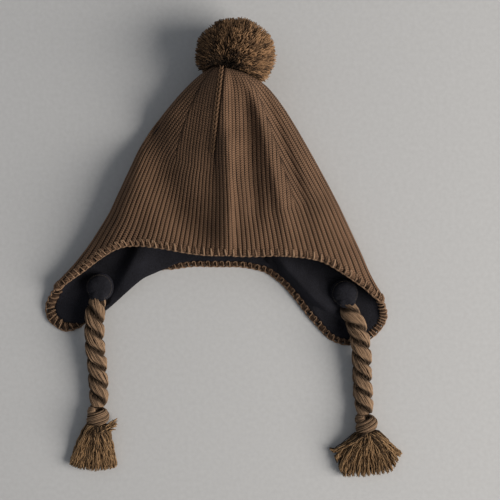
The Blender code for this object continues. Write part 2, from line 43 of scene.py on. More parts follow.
# The lying hat. Its sections give shares of reach and of loft, and turns in degrees from -Y
hat = {
    "fanX": 0.0193,
    "fanY": 0.14995,
    "reach": 0.3315,
    "loft": 0.0450,
    "foldRound": 0.0160,
    "swellCorner": 2.6,
    "swellSlope": 0.42,
    "creaseWidth": 0.0100,
    "creaseDepth": 0.0035,
    "liningFold": 0.0040,
    "knitWall": 0.0026,
    "liningWall": 0.0016,
    "gap": 0.0003,
    "leastSpread": 0.5,
}
sectionColumns = ("reach", "left", "right", "top", "fold", "under")
sections = (
    (0.134, -14.0, -14.0, 1.00, 1.00, 1.00),
    (0.139, -21.0, -2.0, 1.12, 0.90, 0.74),
    (0.148, -27.0, 9.0, 1.19, 0.80, 0.56),
    (0.162, -31.5, 17.0, 1.22, 0.67, 0.38),
    (0.180, -34.8, 22.6, 1.20, 0.56, 0.22),
    (0.205, -37.2, 26.6, 1.14, 0.45, 0.10),
    (0.245, -38.8, 29.0, 1.06, 0.36, 0.02),
    (0.290, -39.3, 30.0, 1.01, 0.32, 0.00),
    (0.355, -39.4, 30.3, 0.98, 0.29, 0.00),
    (0.425, -38.6, 30.2, 0.98, 0.28, 0.00),
    (0.500, -36.7, 30.0, 1.00, 0.28, 0.00),
    (0.575, -35.2, 29.7, 1.00, 0.28, 0.00),
    (0.650, -34.1, 29.2, 0.98, 0.28, 0.00),
    (0.736, -33.9, 28.7, 0.92, 0.28, 0.00),
    (0.807, -34.2, 28.3, 0.82, 0.27, 0.00),
    (0.886, -35.0, 28.5, 0.66, 0.25, 0.00),
    (0.950, -35.5, 28.6, 0.45, 0.18, 0.00),
    (1.000, -35.4, 28.5, 0.30, 0.12, 0.00),
)
# Where the knit ends: across from the left side fold (-1) to the right one (+1), share of reach
browEdge = (
    (-1.00, 0.893), (-0.96, 0.835), (-0.90, 0.757), (-0.84, 0.716), (-0.75, 0.684),
    (-0.63, 0.664), (-0.42, 0.649), (-0.02, 0.641), (0.35, 0.648), (0.55, 0.666),
    (0.72, 0.699), (0.84, 0.752), (0.94, 0.815), (1.00, 0.873),
)
napeEdge = (
    (-1.00, 0.893), (-0.95, 0.963), (-0.90, 0.985), (-0.84, 0.988), (-0.77, 0.962),
    (-0.70, 0.892), (-0.64, 0.812), (-0.57, 0.752), (-0.45, 0.715), (-0.20, 0.680),
    (0.07, 0.673), (0.28, 0.690), (0.40, 0.728), (0.50, 0.788), (0.58, 0.865),
    (0.65, 0.927), (0.73, 0.953), (0.83, 0.957), (0.90, 0.945), (0.96, 0.921),
    (1.00, 0.873),
)
# Soft folds: upper reach and across, lower reach and across, then multiples of creaseWidth and of
# creaseDepth (valleys positive)
creases = (
    (0.125, -0.24, 0.60, -0.02, 0.85, 0.60),
    (0.190, 0.34, 0.64, 0.22, 0.90, 0.60),
    (0.180, 0.50, 0.62, 0.56, 0.90, -0.50),
    (0.170, 0.71, 0.70, 0.66, 0.90, 0.80),
    (0.170, -0.82, 0.40, -0.66, 0.90, 0.50),
    (0.340, -1.05, 0.68, -0.02, 2.60, 3.20),
    (0.150, -0.62, 0.46, -0.50, 1.60, 1.10),
    (0.420, -0.90, 0.80, -0.84, 1.20, -1.00),
    (0.220, 0.36, 0.62, 0.26, 0.70, 1.10),
    (0.170, 0.57, 0.66, 0.48, 0.60, -1.20),
    (0.180, 0.76, 0.60, 0.72, 0.50, 0.80),
)
# Ridges with a long slope on their left and a short one on their right
leaningRidges = (
    (0.150, -0.17, 0.42, 0.06, 0.85, -2.10),
    (0.330, 0.06, 0.68, 0.01, 0.85, -2.60),
)
liningFolds = (
    (0.560, -0.66, 0.88, -0.675, 1.30, 2.40),
    (0.600, 0.30, 0.92, 0.78, 0.85, 2.90),
)


# A curve through a table's rows that never overshoots
def tableCurve(places, values):
    places = np.array(places, dtype=float)
    values = np.array(values, dtype=float)
    steps = np.diff(places)
    slopes = np.diff(values) / steps
    tangents = np.zeros(len(places))
    for i in range(1, len(places) - 1):
        if slopes[i - 1] * slopes[i] > 0:
            weightIn = 2 * steps[i] + steps[i - 1]
            weightOut = steps[i] + 2 * steps[i - 1]
            tangents[i] = (weightIn + weightOut) / (weightIn / slopes[i - 1] + weightOut / slopes[i])

    def read(at):
        at = np.clip(at, places[0], places[-1])
        k = np.clip(np.searchsorted(places, at, side="right") - 1, 0, len(places) - 2)
        t = (at - places[k]) / steps[k]
        low = (1 + 2 * t) * (1 - t) ** 2 * values[k] + t * (1 - t) ** 2 * tangents[k] * steps[k]
        high = t * t * (3 - 2 * t) * values[k + 1] + t * t * (t - 1) * tangents[k + 1] * steps[k]
        return low + high

    return read


def ease(value):
    value = np.clip(value, 0.0, 1.0)
    return value * value * (3 - 2 * value)


sectionTable = dict(zip(sectionColumns, zip(*sections)))
sectionAt = {name: tableCurve(sectionTable["reach"], sectionTable[name]) for name in sectionColumns[1:]}
browReach = tableCurve(*zip(*browEdge))
napeReach = tableCurve(*zip(*napeEdge))


def halfWidthAt(reach):
    turn = np.radians(sectionAt["right"](reach) - sectionAt["left"](reach))
    return reach * hat["reach"] * turn / 2


# A crease with a positive skew is steep on its left and flattens out to the right
def creaseSum(table, across, reach, skew=0.0):
    total = np.zeros_like(across)
    halfWidth = np.maximum(halfWidthAt(reach), hat["creaseWidth"])
    for upReach, upAcross, lowReach, lowAcross, width, depth in table:
        t = (reach - upReach) / (lowReach - upReach)
        centre = upAcross + (lowAcross - upAcross) * np.clip(t, 0, 1)
        aside = (across - centre) * halfWidth / (hat["creaseWidth"] * width)
        aside = aside * np.where(aside < 0, 1 + skew, 1 / (1 + skew))
        total += depth * ease(t * 5 + 0.5) * ease((1 - t) * 3) * np.exp(-aside * aside)
    return total


# around: 0 to 2 over the brow side from the left fold to the right one, 2 to 4 back along the nape
def sideAndAcross(around):
    around = np.mod(around, 4.0)
    isBrow = around < 2.0
    return isBrow, np.where(isBrow, around - 1.0, 3.0 - around)


def hatPoint(around, reach):
    isBrow, across = sideAndAcross(around)
    left = sectionAt["left"](reach)
    right = sectionAt["right"](reach)
    fold = sectionAt["fold"](reach) * hat["loft"]
    turn = np.radians(left + (across + 1) / 2 * (right - left))
    x = hat["fanX"] + reach * hat["reach"] * np.sin(turn)
    y = hat["fanY"] - reach * hat["reach"] * np.cos(turn)
    top = sectionAt["top"](reach) * hat["loft"]
    swell = np.maximum(0.0, 1 - np.abs(across) ** hat["swellCorner"]) ** hat["swellSlope"]
    browZ = fold + (top - fold) * swell
    folds = creaseSum(creases, across, reach) + creaseSum(leaningRidges, across, reach, -0.40)
    browZ -= hat["creaseDepth"] * folds * np.minimum(1.0, 2.5 * swell)
    under = sectionAt["under"](reach) * hat["loft"]
    halfWidth = halfWidthAt(reach)
    roundWidth = np.maximum(np.minimum(hat["foldRound"], 0.9 * halfWidth), 1e-6)
    turned = np.maximum(0.0, 1 - (1 - np.abs(across)) * halfWidth / roundWidth)
    napeZ = under + (fold - under) * (1 - np.sqrt(np.maximum(0.0, 1 - turned * turned)))
    return np.stack([x, y, np.where(isBrow, browZ, napeZ)], axis=-1)


def unit(vectors):
    length = np.linalg.norm(vectors, axis=-1, keepdims=True)
    return vectors / np.maximum(length, 1e-9)


# Outward normal of the smooth hat
def hatNormal(around, reach):
    step = 0.004
    alongReach = hatPoint(around, reach + step) - hatPoint(around, reach - step)
    alongRound = hatPoint(around + step, reach) - hatPoint(around - step, reach)
    return unit(np.cross(alongReach, alongRound))


def rimReach(around):
    isBrow, across = sideAndAcross(around)
    return np.where(isBrow, browReach(across), napeReach(across))


def rimPoint(around):
    return hatPoint(around, rimReach(around))


# Direction along the rim, away from the cloth in its own surface, and the cloth's outward normal
def rimFrame(around):
    step = 0.004
    along = unit(rimPoint(around + step) - rimPoint(around - step))
    reach = rimReach(around)
    normal = hatNormal(around, reach)
    normal = unit(normal - along * np.sum(normal * along, axis=-1, keepdims=True))
    away = np.cross(normal, along)
    down = hatPoint(around, reach) - hatPoint(around, reach - 0.02)
    away *= np.sign(np.sum(away * down, axis=-1, keepdims=True))
    return along, away, normal


# The reach of any place, and how far across it lies between the sides (-1 to +1)
def fanPlace(place):
    dx = place[..., 0] - hat["fanX"]
    dy = hat["fanY"] - place[..., 1]
    reach = np.hypot(dx, dy) / hat["reach"]
    left = sectionAt["left"](reach)
    spread = np.maximum(sectionAt["right"](reach) - left, hat["leastSpread"])
    return reach, (np.degrees(np.arctan2(dx, dy)) - left) / spread * 2 - 1


# The place on the hat that lies a distance inside the rim, square to it, as around and reach
def insideRim(around, distance):
    _, away, _ = rimFrame(around)
    isBrow, _ = sideAndAcross(around)
    reach, across = fanPlace(rimPoint(around) - away * np.asarray(distance)[..., None])
    across = np.clip(across, -1.0, 1.0)
    return np.where(isBrow, across + 1.0, 3.0 - across), reach


# Small mesh helpers
def deselectAll():
    if bpy.context.object and bpy.context.object.mode != "OBJECT":
        bpy.ops.object.mode_set(mode="OBJECT")
    bpy.ops.object.select_all(action="DESELECT")


# A grid primitive whose points are laid over rows of places; closed round when the last column
# repeats the first one
def gridPiece(name, places, mergeDistance=0.00001):
    rows, columns = places.shape[:2]
    deselectAll()
    bpy.ops.mesh.primitive_grid_add(x_subdivisions=columns - 1, y_subdivisions=rows - 1, size=1.0,
                                    location=(0, 0, 0))
    piece = bpy.context.object
    piece.name = name
    piece.data.name = name
    piece.data.vertices.foreach_set("co", places.reshape(-1).astype(np.float32))
    if mergeDistance:
        mergeDoubles(piece, mergeDistance)
    return piece


def mergeDoubles(piece, distance):
    deselectAll()
    piece.select_set(True)
    bpy.context.view_layer.objects.active = piece
    bpy.ops.object.mode_set(mode="EDIT")
    bpy.ops.mesh.select_all(action="SELECT")
    bpy.ops.mesh.remove_doubles(threshold=distance)
    bpy.ops.mesh.normals_make_consistent(inside=False)
    bpy.ops.object.mode_set(mode="OBJECT")
    bpy.ops.object.shade_smooth()


def setAttribute(piece, name, values):
    layer = piece.data.attributes.new(name=name, type="FLOAT", domain="POINT")
    layer.data.foreach_set("value", np.asarray(values, dtype=np.float32).reshape(-1))


def setUv(piece, name, uv):
    mesh = piece.data
    loops = np.zeros(len(mesh.loops), dtype=np.int32)
    mesh.loops.foreach_get("vertex_index", loops)
    layer = mesh.uv_layers.new(name=name)
    layer.data.foreach_set("uv", uv.reshape(-1, 2)[loops].astype(np.float32).reshape(-1))
    mesh.uv_layers.active = layer


def keepAbove(places, lowest):
    places[..., 2] = np.maximum(places[..., 2], lowest)


# Many yarns as one mesh. paths: yarns x points x 3. radius and depth: one value, or one for each
# point. shade: one value, or one for each yarn
def yarnMesh(name, paths, radius, sides, shade, depth=None, closed=False):
    yarns, points = paths.shape[:2]
    radius = np.broadcast_to(radius, (yarns, points))
    depth = np.broadcast_to(np.linspace(0, 1, points) if depth is None else depth, (yarns, points))
    along = np.gradient(paths, axis=1)
    if closed:
        along = np.roll(paths, -1, axis=1) - np.roll(paths, 1, axis=1)
    along = unit(along)
    side = np.cross(along, upZ)
    flat = np.linalg.norm(side, axis=-1, keepdims=True) < 0.2
    side = unit(np.where(flat, np.cross(along, np.array([1.0, 0.0, 0.0])), side))
    over = np.cross(side, along)
    turn = 2 * np.pi * np.arange(sides) / sides
    ring = side[:, :, None, :] * np.cos(turn)[None, None, :, None]
    ring = ring + over[:, :, None, :] * np.sin(turn)[None, None, :, None]
    verts = paths[:, :, None, :] + ring * radius[:, :, None, None]
    index = np.arange(yarns * points * sides).reshape(yarns, points, sides)
    if closed:
        index = np.concatenate([index, index[:, :1]], axis=1)
    turned = np.roll(index, -1, axis=2)
    quads = np.stack([index[:, :-1], turned[:, :-1], turned[:, 1:], index[:, 1:]], axis=-1)
    faces = quads.reshape(-1, 4).tolist()
    if not closed:
        faces += index[:, 0, ::-1].tolist() + index[:, -1].tolist()
    mesh = bpy.data.meshes.new(name)
    mesh.from_pydata(verts.reshape(-1, 3).tolist(), [], faces)
    mesh.shade_smooth()
    piece = bpy.data.objects.new(name, mesh)
    bpy.context.scene.collection.objects.link(piece)
    setAttribute(piece, "along", np.repeat(depth[..., None], sides, axis=2))
    setAttribute(piece, "shade", np.repeat(np.broadcast_to(shade, yarns), points * sides))
    return piece


def joinPieces(name, parts):
    deselectAll()
    for part in parts:
        part.select_set(True)
    bpy.context.view_layer.objects.active = parts[0]
    bpy.ops.object.join()
    parts[0].name = name
    parts[0].data.name = name
    return parts[0]


# A smooth line through chosen points, read at even steps of their numbers
def smoothLine(points, steps):
    points = np.array(points, dtype=float)
    last = len(points) - 1
    spot = np.linspace(0, last, steps)
    k = np.minimum(spot.astype(int), last - 1)
    t = (spot - k)[:, None]
    before, low = points[np.maximum(k - 1, 0)], points[k]
    high, after = points[k + 1], points[np.minimum(k + 2, last)]
    return 0.5 * (
        2 * low
        + (high - before) * t
        + (2 * before - 5 * low + 4 * high - after) * t * t
        + (3 * low - before - 3 * high + after) * t ** 3
    )


# The length run along a line, at each of its points
def runAlong(points):
    steps = np.linalg.norm(np.diff(points, axis=0), axis=1)
    return np.concatenate([[0.0], np.cumsum(steps)])


def evenSteps(points, count):
    run = runAlong(points)
    at = np.linspace(0, run[-1], count)
    return np.stack([np.interp(at, run, points[:, i]) for i in range(3)], axis=-1)


# Shader helpers
def hexColour(code):
    parts = [int(code[i:i + 2], 16) / 255 for i in (1, 3, 5)]
    linear = [v / 12.92 if v <= 0.04045 else ((v + 0.055) / 1.055) ** 2.4 for v in parts]
    return (*linear, 1.0)


# Adds a node with its settings; a setting that is another node's output becomes a link
def addNode(tree, kind, settings):
    node = tree.nodes.new("ShaderNode" + kind)
    for key, value in settings.items():
        if isinstance(value, bpy.types.NodeSocket):
            tree.links.new(value, node.inputs[key])
        elif isinstance(key, str) and hasattr(node, key):
            setattr(node, key, value)
        else:
            node.inputs[key].default_value = value
    return node


def calculate(tree, operation, *values):
    return addNode(tree, "Math", {"operation": operation, **dict(enumerate(values))}).outputs[0]


def remap(tree, value, low, high, toLow=0.0, toHigh=1.0, kind="LINEAR"):
    settings = {"interpolation_type": kind, 0: value, 1: low, 2: high, 3: toLow, 4: toHigh}
    return addNode(tree, "MapRange", settings).outputs[0]


def mixColours(tree, share, first, second, blend="MIX"):
    settings = {"data_type": "RGBA", "blend_type": blend, 0: share, 6: first, 7: second}
    return addNode(tree, "Mix", settings).outputs[2]


# Noise with about as many clouds to a metre, or to a unit of the place, as its scale says
def grain(tree, place, scale, detail):
    return addNode(tree, "TexNoise", {"Vector": place, "Scale": scale, "Detail": detail}).outputs[0]


def objectPlace(tree):
    return addNode(tree, "TexCoord", {}).outputs["Object"]


def pieceValue(tree, name):
    return addNode(tree, "Attribute", {"attribute_name": name}).outputs["Fac"]


def newMaterial(name, roughness, sheen, sheenHex):
    material = bpy.data.materials.new(name)
    material.use_nodes = True
    shader = material.node_tree.nodes["Principled BSDF"]
    surface = {
        "Roughness": roughness,
        "IOR": 1.5,
        "Specular IOR Level": 0.25,
        "Sheen Weight": sheen,
        "Sheen Roughness": 0.5,
        "Sheen Tint": hexColour(sheenHex),
    }
    for key, value in surface.items():
        shader.inputs[key].default_value = value
    return material, material.node_tree, shader


def finishSurface(tree, shader, colour, height, strength, distance):
    bump = addNode(tree, "Bump", {"Strength": strength, "Distance": distance, "Height": height})
    tree.links.new(colour, shader.inputs["Base Color"])
    tree.links.new(bump.outputs[0], shader.inputs["Normal"])


# Rib knit of a brushed acrylic yarn: rounded wales and small V-shaped stitches, with painted shade in the
# gaps between wales and between the stitch legs
def ribKnit():
    look = {
        "wale": "#7d614c",
        # gap: colour of the painted shade between wales and stitch legs
        "gap": "#0c0603",
        # seam: colour of the painted shade in the seam grooves, on the roll and on the hem
        "seam": "#140c07",
        "legSlant": -1.5,
        "gapEdge": (0.31, 0.47),
        "gapCloud": (0.9, 0.11, 1.0),
        "waleTone": 0.22,
        "fuzzTone": 0.5,
        "fuzzHeight": 0.45,
        "courseBump": 0.00060,
        "fuzzScale": 1400.0,
        "cloudScale": 38.0,
    }
    material, tree, shader = newMaterial("acrylicRibKnit", 0.93, 0.12, "#a58b76")
    uv = addNode(tree, "UVMap", {"uv_map": "knitUv"}).outputs[0]
    parts = addNode(tree, "SeparateXYZ", {0: uv})
    wales, courses = parts.outputs[0], parts.outputs[1]
    spot = objectPlace(tree)
    # each stitch has two legs that lean towards the wale's middle
    fromMid = calculate(tree, "SUBTRACT", calculate(tree, "FRACT", wales), 0.5)
    fromMid = calculate(tree, "ABSOLUTE", fromMid)
    leg = calculate(tree, "MULTIPLY_ADD", fromMid, look["legSlant"], courses)
    wave = calculate(tree, "SINE", calculate(tree, "MULTIPLY", leg, math.pi))
    stitch = calculate(tree, "POWER", calculate(tree, "ABSOLUTE", wave), 0.6)
    # the painted shade between two wales opens and closes along their length
    gap = remap(tree, fromMid, *look["gapEdge"], kind="SMOOTHSTEP")
    gapSpot = addNode(tree, "VectorMath", {"operation": "MULTIPLY", 0: uv, 1: look["gapCloud"]}).outputs[0]
    gapShadeStrength = remap(tree, grain(tree, gapSpot, 1.0, 2.0), 0.36, 0.62, 0.62, 1.0)
    wale = calculate(tree, "SUBTRACT", 1.0, calculate(tree, "MULTIPLY", gap, gapShadeStrength))
    fuzz = grain(tree, spot, look["fuzzScale"], 3.0)
    cloud = grain(tree, spot, look["cloudScale"], 3.0)
    # every wale has a slightly different tone
    waleNumber = calculate(tree, "FLOOR", wales)
    waleTone = addNode(tree, "TexWhiteNoise", {"noise_dimensions": "1D", "W": waleNumber}).outputs[0]
    # painted shade: the tone falls towards the gap colour between the stitch legs and, through the wale
    # share, in the gaps between wales
    tone = remap(tree, stitch, 0.15, 0.95, 0.08, 0.92)
    tone = calculate(tree, "MULTIPLY_ADD", waleTone, look["waleTone"], tone)
    tone = calculate(tree, "MULTIPLY", tone, wale)
    tone = calculate(tree, "MULTIPLY_ADD", fuzz, look["fuzzTone"], tone)
    tone = remap(tree, tone, 0.32, 1.20)
    base = mixColours(tree, tone, hexColour(look["gap"]), hexColour(look["wale"]))
    tinted = mixColours(tree, 1.0, base, remap(tree, cloud, 0.3, 0.7, 0.86, 1.10), "MULTIPLY")
    # painted shade: the seam value darkens the knit in the seam grooves, round the roll and on the hem
    final = mixColours(tree, pieceValue(tree, "seam"), tinted, hexColour(look["seam"]))
    height = calculate(tree, "MULTIPLY_ADD", fuzz, look["fuzzHeight"], stitch)
    finishSurface(tree, shader, final, height, 1.0, look["courseBump"])
    return material


# Navy polar fleece: a short brushed pile, matt, with a faint velvet light at its edges
def navyFleece(name):
    look = {"pile": "#22232b", "deep": "#0b0b0f", "pileScale": 900.0, "cloudScale": 60.0, "bump": 0.0005}
    material, tree, shader = newMaterial(name, 0.95, 0.25, "#5b5b70")
    spot = objectPlace(tree)
    pile = grain(tree, spot, look["pileScale"], 4.0)
    cloud = grain(tree, spot, look["cloudScale"], 3.0)
    tone = remap(tree, calculate(tree, "MULTIPLY_ADD", cloud, 0.5, pile), 0.45, 1.05)
    base = mixColours(tree, tone, hexColour(look["deep"]), hexColour(look["pile"]))
    finishSurface(tree, shader, base, pile, 0.8, look["bump"])
    return material


# Soft yarn: each strand has its own shade, darker at the root where the light doesn't reach
def softYarn(name, darkHex, lightHex, rootShadeHex, rootStart, rootEnd):
    look = {"sheen": "#b79c80", "fuzzScale": 1600.0, "fuzzTone": 0.25, "bump": 0.0003}
    material, tree, shader = newMaterial(name, 0.9, 0.15, look["sheen"])
    fuzz = grain(tree, objectPlace(tree), look["fuzzScale"], 3.0)
    fuzzTone = remap(tree, fuzz, 0.25, 0.75, -look["fuzzTone"], look["fuzzTone"])
    tone = calculate(tree, "ADD", pieceValue(tree, "shade"), fuzzTone)
    base = mixColours(tree, tone, hexColour(darkHex), hexColour(lightHex))
    # painted shade: where the along value is low the yarn takes the dark root colour
    depth = remap(tree, pieceValue(tree, "along"), rootStart, rootEnd, kind="SMOOTHSTEP")
    finishSurface(tree, shader, mixColours(tree, depth, hexColour(rootShadeHex), base), fuzz, 0.7, look["bump"])
    return material


def dress(piece, material, slot, *nodes):
    piece.data.materials.clear()
    piece.data.materials.append(material)
    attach(piece, "root")
    if nodes:
        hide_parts(*nodes)


# Camera straight above the hat
view = {"x": 0.0320, "y": -0.06025, "height": 1.0, "fieldWidth": 0.475, "sensor": 36.0}


def addCamera():
    bpy.ops.object.camera_add(location=(view["x"], view["y"], view["height"]), rotation=(0, 0, 0))
    camera = bpy.context.object
    camera.name = "camera"
    camera.data.sensor_width = view["sensor"]
    camera.data.lens = view["sensor"] * view["height"] / view["fieldWidth"]
    camera.data.clip_start = 0.01
    bpy.context.scene.camera = camera


addCamera()

# Ties
ties = {
    "diameter": 0.0175,
    "rootShare": 0.62,
    "rootEnd": 0.06,
    "fullStart": 0.20,
    "neckStart": 0.92,
    "neck": 0.80,
    "pitch": 0.0314,
    "plyOut": 0.245,
    "plyThick": 0.255,
    "plyWide": 0.385,
    "yarnsInPly": 38,
    "yarnPitch": 0.031,
    "steps": 112,
    "yarnRadius": 0.00066,
    "wobble": 0.00007,
    "lowest": 0.0008,
    "hairs": 260,
    "hairRadius": 0.00011,
    "hairDrift": 0.004,
    "left": {
        "across": -0.785, "reach": 0.835, "twistStart": 0.40, "knotSeed": 11,
        "route": (
            (0.0015, 0.0020, 0.0101), (0.0004, -0.0045, 0.0101), (-0.0010, -0.0105, 0.0103),
            (-0.0025, -0.0165, 0.0118), (-0.0036, -0.0240, 0.0139), (-0.0043, -0.0340, 0.0144),
            (-0.0044, -0.0450, 0.0142), (-0.0036, -0.0580, 0.0125), (-0.0024, -0.0730, 0.0099),
            (-0.0014, -0.0880, 0.0089), (-0.0010, -0.1010, 0.0088), (-0.0014, -0.1120, 0.0090),
        ),
        "tassel": {"length": 0.043, "width": 0.044, "lean": -0.06, "seed": 3, "wisp": 0.0, "stray": 0.065},
    },
    "right": {
        "across": 0.80, "reach": 0.817, "twistStart": 0.15, "knotSeed": 12,
        "route": (
            (-0.0020, 0.0030, 0.0101), (-0.0008, -0.0035, 0.0101), (0.0012, -0.0100, 0.0103),
            (0.0040, -0.0160, 0.0118), (0.0078, -0.0235, 0.0139), (0.0112, -0.0320, 0.0144),
            (0.0138, -0.0430, 0.0144), (0.0155, -0.0550, 0.0135), (0.0165, -0.0690, 0.0110),
            (0.0170, -0.0840, 0.0091), (0.0180, -0.0990, 0.0088), (0.0194, -0.1130, 0.0090),
        ),
        "tassel": {"length": 0.041, "width": 0.067, "lean": -0.04, "seed": 8, "wisp": 1.0, "stray": 0.0},
    },
}


def patchPlace(side):
    around = np.array([3.0 - ties[side]["across"]])
    place = hatPoint(around, np.array([ties[side]["reach"]]))[0]
    place[2] = hat["knitWall"] + hat["liningWall"] + 2 * hat["gap"]
    return place


def tieLine(side, steps):
    points = smoothLine(ties[side]["route"], 200)
    points[:, :2] += patchPlace(side)[:2]
    return evenSteps(points, steps)


# Yarns laid round an oval bundle that follows a line; wide and thick are half sizes. Gives their
# paths, and how far each one lies to the outside
def bundleYarns(line, wideWay, thickWay, wide, thick, yarns, turnsPerStep, start):
    turn = start + 2 * np.pi * np.arange(yarns)[:, None] / yarns
    turn = turn + turnsPerStep * 2 * np.pi * np.arange(len(line))[None, :]
    out = np.cos(turn)[..., None] * wideWay[None] * np.asarray(wide)[None, :, None]
    out = out + np.sin(turn)[..., None] * thickWay[None] * np.asarray(thick)[None, :, None]
    return line[None] + out, np.sin(turn)


def buildTie(side, yarnMaterial):
    steps = ties["steps"]
    line = tieLine(side, steps)
    length = float(runAlong(line)[-1])
    share = np.linspace(0, 1, steps)
    along = unit(np.gradient(line, axis=0))
    right = unit(np.cross(along, upZ))
    over = np.cross(right, along)
    grown = ease((share - ties["rootEnd"]) / (ties["fullStart"] - ties["rootEnd"]))
    scale = ties["rootShare"] + (1 - ties["rootShare"]) * grown
    scale *= 1 - (1 - ties["neck"]) * ease((share - ties["neckStart"]) / (1 - ties["neckStart"]))
    size = ties["diameter"] * scale
    wide = size * ties["plyWide"] - ties["yarnRadius"] * 0.7
    thick = size * ties["plyThick"] - ties["yarnRadius"] * 0.7
    spin = -length / steps / ties["yarnPitch"]
    chance = np.random.default_rng(ties[side]["tassel"]["seed"])
    turn = 2 * np.pi * (ties[side]["twistStart"] - share * length / ties["pitch"])
    count = ties["yarnsInPly"]
    parts = []
    for ply in range(2):
        angle = turn + math.pi * ply
        radial = -right * np.cos(angle)[:, None] + over * np.sin(angle)[:, None]
        tangent = right * np.sin(angle)[:, None] + over * np.cos(angle)[:, None]
        centre = line + radial * (size * ties["plyOut"])[:, None]
        paths, outer = bundleYarns(centre, tangent, radial, wide, thick, count, spin, 0.3 * ply)
        wobble = np.cumsum(chance.normal(0, ties["wobble"], paths.shape), axis=1)
        wobble -= share[None, :, None] * wobble[:, -1:, :]
        paths = paths + wobble
        radius = ties["yarnRadius"] * chance.uniform(0.7, 1.3, (count, 1)) * (0.8 + 0.2 * scale)
        keepAbove(paths, ties["lowest"])
        # painted shade: yarns on the ply's inner side, in the crevice between the plies, take more of the
        # dark root colour
        depth = 0.36 + 0.64 * np.maximum(outer, 0) ** 0.6
        parts.append(yarnMesh("yarns", paths, radius, 4, chance.uniform(0.15, 0.85, count), depth))
        # painted shade: a dark core inside each ply fills the gaps between its yarns
        parts.append(yarnMesh("shadeCore", centre[None], thick * 0.98, 8, 0.0, 0.0))
    # loose hairs that stand off the twist
    count = ties["hairs"]
    spot = chance.integers(4, steps - 4, count)
    lean = chance.uniform(0, 2 * np.pi, count)
    outward = right[spot] * np.cos(lean)[:, None] + over[spot] * np.sin(lean)[:, None]
    drift = along[spot] * chance.uniform(-1, 1, (count, 1)) * ties["hairDrift"]
    foot = line[spot] + outward * (size[spot] * 0.40)[:, None]
    bend = foot + outward * chance.uniform(0.0004, 0.0016, (count, 1)) + drift * 0.5
    hairs = np.stack([foot, bend, bend + drift], axis=1)
    keepAbove(hairs, 0.0003)
    parts.append(yarnMesh("hairs", hairs, ties["hairRadius"], 3, chance.uniform(0.4, 1.0, count), 1.0))
    tie = joinPieces("twistedTie" + side.capitalize(), parts)
    dress(tie, yarnMaterial, "tie_yarn", "tie_" + side)
    return tie, line, length


# The knot: the same yarn wound once and a half round the tie's end
knots = {
    "width": 0.0210,
    "length": 0.0180,
    "turns": 1.45,
    "start": 0.30,
    "bundle": 0.0056,
    "yarns": 34,
    "steps": 70,
    "yarnRadius": 0.00064,
    "wobble": 0.00005,
    "lowest": 0.0007,
}


def buildKnot(side, line, yarnMaterial):
    along = line[-1] - line[-6]
    along[2] = 0.0
    along = unit(along)
    aside = np.array([-along[1], along[0], 0.0])
    middle = line[-1] + along * (knots["length"] / 2 + hat["gap"])
    middle[2] = knots["width"] / 2 * 0.9
    share = np.linspace(0, 1, knots["steps"])
    swing = 2 * np.pi * (knots["turns"] * share + knots["start"])
    offset = knots["width"] / 2 - knots["bundle"]
    centre = middle + aside * (offset * np.cos(swing))[:, None] + upZ * (offset * np.sin(swing))[:, None]
    centre = centre + along * ((share - 0.5) * (knots["length"] - knots["bundle"] * 1.1))[:, None]
    heading = unit(np.gradient(centre, axis=0))
    outward = unit(centre - middle - along * ((centre - middle) @ along)[:, None])
    sideways = unit(np.cross(heading, outward))
    taper = np.sqrt(np.maximum(0.05, 1 - np.abs(2 * share - 1) ** 6))
    thick = knots["bundle"] * 0.92 * taper
    chance = np.random.default_rng(ties[side]["knotSeed"])
    count = knots["yarns"]
    paths, outer = bundleYarns(centre, sideways, outward, thick * 1.1, thick, count, 0.008, 0.0)
    paths = paths + np.cumsum(chance.normal(0, knots["wobble"], paths.shape), axis=1)
    keepAbove(paths, knots["lowest"])
    radius = knots["yarnRadius"] * chance.uniform(0.7, 1.3, (count, 1))
    # painted shade: yarns on the inner side of the wound bundle take more of the dark root colour
    depth = 0.45 + 0.55 * np.maximum(outer, 0) ** 0.7
    yarns = yarnMesh("yarns", paths, radius, 4, chance.uniform(0.1, 0.8, count), depth)
    # painted shade: a dark core inside the bundle fills the gaps between its yarns
    shadeCore = yarnMesh("shadeCore", centre[None], thick * 0.9, 8, 0.0, 0.0)
    knot = joinPieces("tieKnot" + side.capitalize(), [yarns, shadeCore])
    dress(knot, yarnMaterial, "tie_yarn", "tie_knot_" + side)
    head = middle + along * (knots["length"] / 2 + hat["gap"])
    return knot, head, along, aside


# Loose crimped ends that fan out flat from the knot; the tuft stands out beside it
tassels = {
    "yarns": 900,
    "points": 12,
    "yarnRadius": 0.00044,
    "rootRadius": 0.0092,
    "rootRise": 0.0085,
    "rootInside": 0.0015,
    "locks": 9,
    "lockShare": 0.4,
    "loft": 0.0105,
    "lowest": 0.0007,
    "crimp": 0.00055,
    "crimpLength": 0.0052,
    "tuftAside": (0.003, 0.0150),
    "tuftForward": (0.005, 0.016),
    "tuftRise": 0.004,
}


